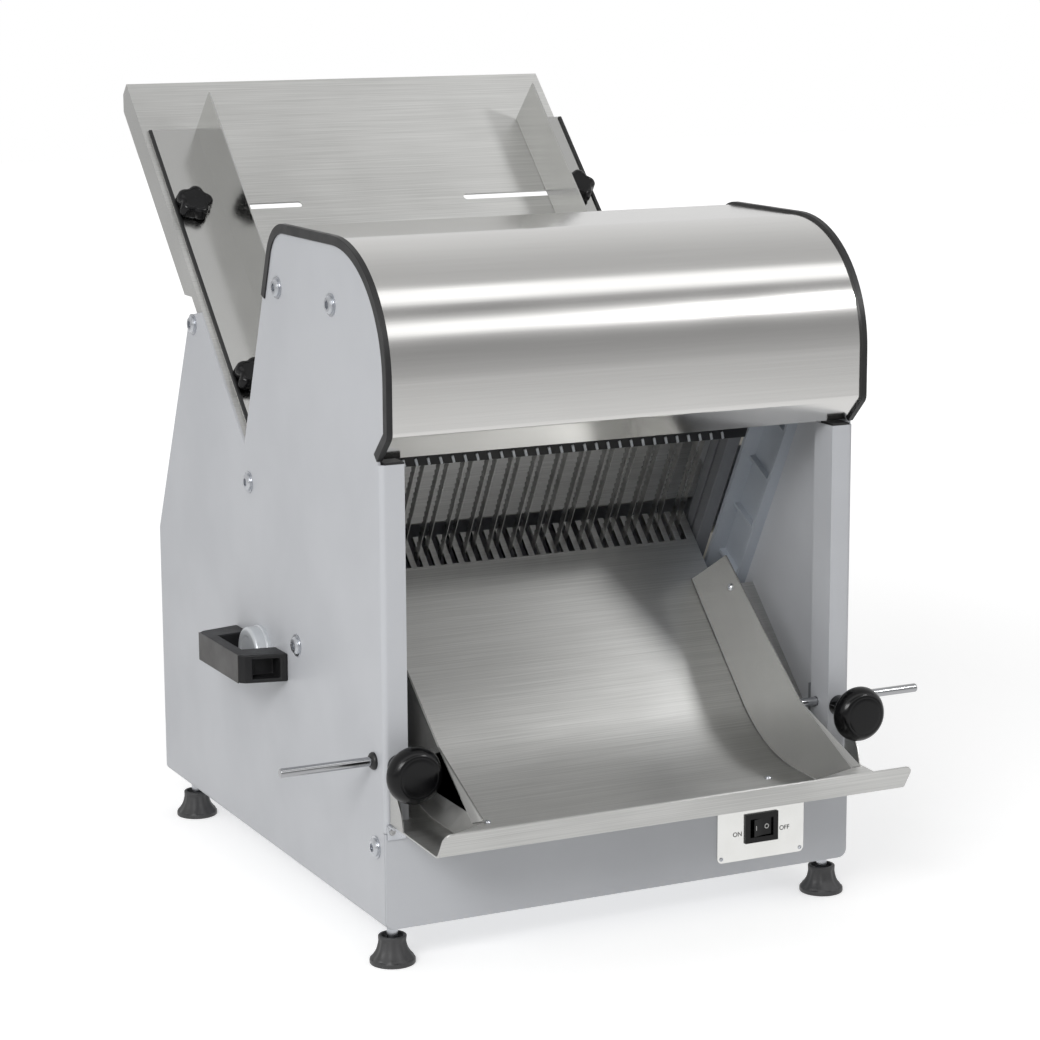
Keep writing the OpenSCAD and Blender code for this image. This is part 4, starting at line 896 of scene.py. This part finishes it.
# %% What each kind of ray sees
WHITE, ROOM = (1, 1, 1, 1), 0.62
mirrored = add_node(tree, "Background", Strength=STRIP_PEAK)
link(strips.outputs["Color"], mirrored.inputs["Color"])
room = add_node(tree, "Background", Color=WHITE, Strength=ROOM)
paper = add_node(tree, "Background", Color=WHITE, Strength=1.0)
path = add_node(tree, "LightPath")
lit = add_node(tree, "MixShader")
link(path.outputs["Is Glossy Ray"], lit.inputs["Fac"])
link(room.outputs[0], lit.inputs[1])
link(mirrored.outputs[0], lit.inputs[2])
seen = add_node(tree, "MixShader")
link(path.outputs["Is Camera Ray"], seen.inputs["Fac"])
link(lit.outputs[0], seen.inputs[1])
link(paper.outputs[0], seen.inputs[2])
link(seen.outputs[0], add_node(tree, "OutputWorld").inputs["Surface"])
print("room at", ROOM, "and paper at 1.0")

# %% [markdown]
# ## Paper floor
# The photograph was taken on white paper. The floor is a matt sheet that keeps the machine's
# shadow, with a glow for the camera alone that fades it into the white around. In the steel it is
# seen at flat angles, where real paper falls off with distance, so mirror-like rays get a ramp.

# %% Floor sheet
FLOOR_SIZE = 9.0
grid = bmesh.new()
bmesh.ops.create_grid(grid, x_segments=8, y_segments=8, size=FLOOR_SIZE)
floor = bpy.data.objects.new("paper_floor", mesh_from(grid, "paper_floor"))
bpy.context.scene.collection.objects.link(floor)
white = bpy.data.materials.new("paper")
white.use_nodes = True
floor.data.materials.append(white)
print("floor", 2 * FLOOR_SIZE, "m wide")

# %% Paper for the camera
PAPER_GREY = (0.78, 0.78, 0.78, 1)
GLOW_NEAR, GLOW_FAR, NEAR, FAR = 0.46, 0.64, 0.9, 2.6
tree = white.node_tree
tree.nodes.clear()
link = tree.links.new
place = add_node(tree, "TexCoord")
away = add_node(tree, "VectorMath", "LENGTH")
link(place.outputs["Object"], away.inputs[0])
fade = add_node(tree, "MapRange", From_Min=NEAR, From_Max=FAR, To_Min=GLOW_NEAR, To_Max=GLOW_FAR)
link(away.outputs["Value"], fade.inputs["Value"])
glow = add_node(tree, "Emission")
link(fade.outputs["Result"], glow.inputs["Strength"])
dark = add_node(tree, "Emission", Strength=0.0)
path = add_node(tree, "LightPath")
lift = add_node(tree, "MixShader")
link(path.outputs["Is Camera Ray"], lift.inputs["Fac"])
link(dark.outputs[0], lift.inputs[1])
link(glow.outputs[0], lift.inputs[2])
matt = add_node(tree, "BsdfDiffuse", Color=PAPER_GREY)
total = add_node(tree, "AddShader")
link(matt.outputs[0], total.inputs[0])
link(lift.outputs[0], total.inputs[1])
print("paper glow from", GLOW_NEAR, "to", GLOW_FAR)

# %% Paper in the steel
FLOOR = [(0, 0.92), (2.0, 0.84), (2.8, 0.76), (3.15, 0.71), (3.5, 0.6), (6.3, 0.52), (9.0, 0.47)]
share = add_node(tree, "MapRange", From_Max=FLOOR_SIZE)
link(away.outputs["Value"], share.inputs["Value"])
fall = level_ramp(tree, [(metres / FLOOR_SIZE, brightness) for metres, brightness in FLOOR], 1.0)
link(share.outputs["Result"], fall.inputs["Fac"])
mirror_glow = add_node(tree, "Emission", Strength=1.0)
link(fall.outputs["Color"], mirror_glow.inputs["Color"])
either = add_node(tree, "MixShader")
link(path.outputs["Is Glossy Ray"], either.inputs["Fac"])
link(total.outputs[0], either.inputs[1])
link(mirror_glow.outputs[0], either.inputs[2])
link(either.outputs[0], add_node(tree, "OutputMaterial").inputs["Surface"])
print("paper ramp with", len(FLOOR), "stops")

# %% [markdown]
# ## Soft lamps
# A broad soft lamp from the front left reaches under the hood, as the studio's main lamp does. A
# narrow one from the right draws the bright streak on the chute, and matt surfaces don't see it.

# %% Soft lamps
def soft_lamp(name, place, aim, size, power):
    lamp = bpy.data.lights.new(name, "AREA")
    lamp.shape, lamp.size, lamp.size_y, lamp.energy = "RECTANGLE", *size, power
    stand = bpy.data.objects.new(name, lamp)
    bpy.context.scene.collection.objects.link(stand)
    stand.location = place
    stand.rotation_euler = (Vector(aim) - Vector(place)).to_track_quat("-Z", "Y").to_euler()
    print(name, "at", place, power, "W")
    return stand


soft_lamp("front_left_lamp", place=(-2.25, -2.25, 1.99), aim=(0, 0, 0.3), size=(1.6, 1.0), power=54.0)
glint = soft_lamp("front_right_strip", place=(1.42, -1.7, 1.75), aim=(0.06, -0.25, 0.15),
                  size=(0.5, 0.15), power=9.5)
glint.visible_diffuse = False
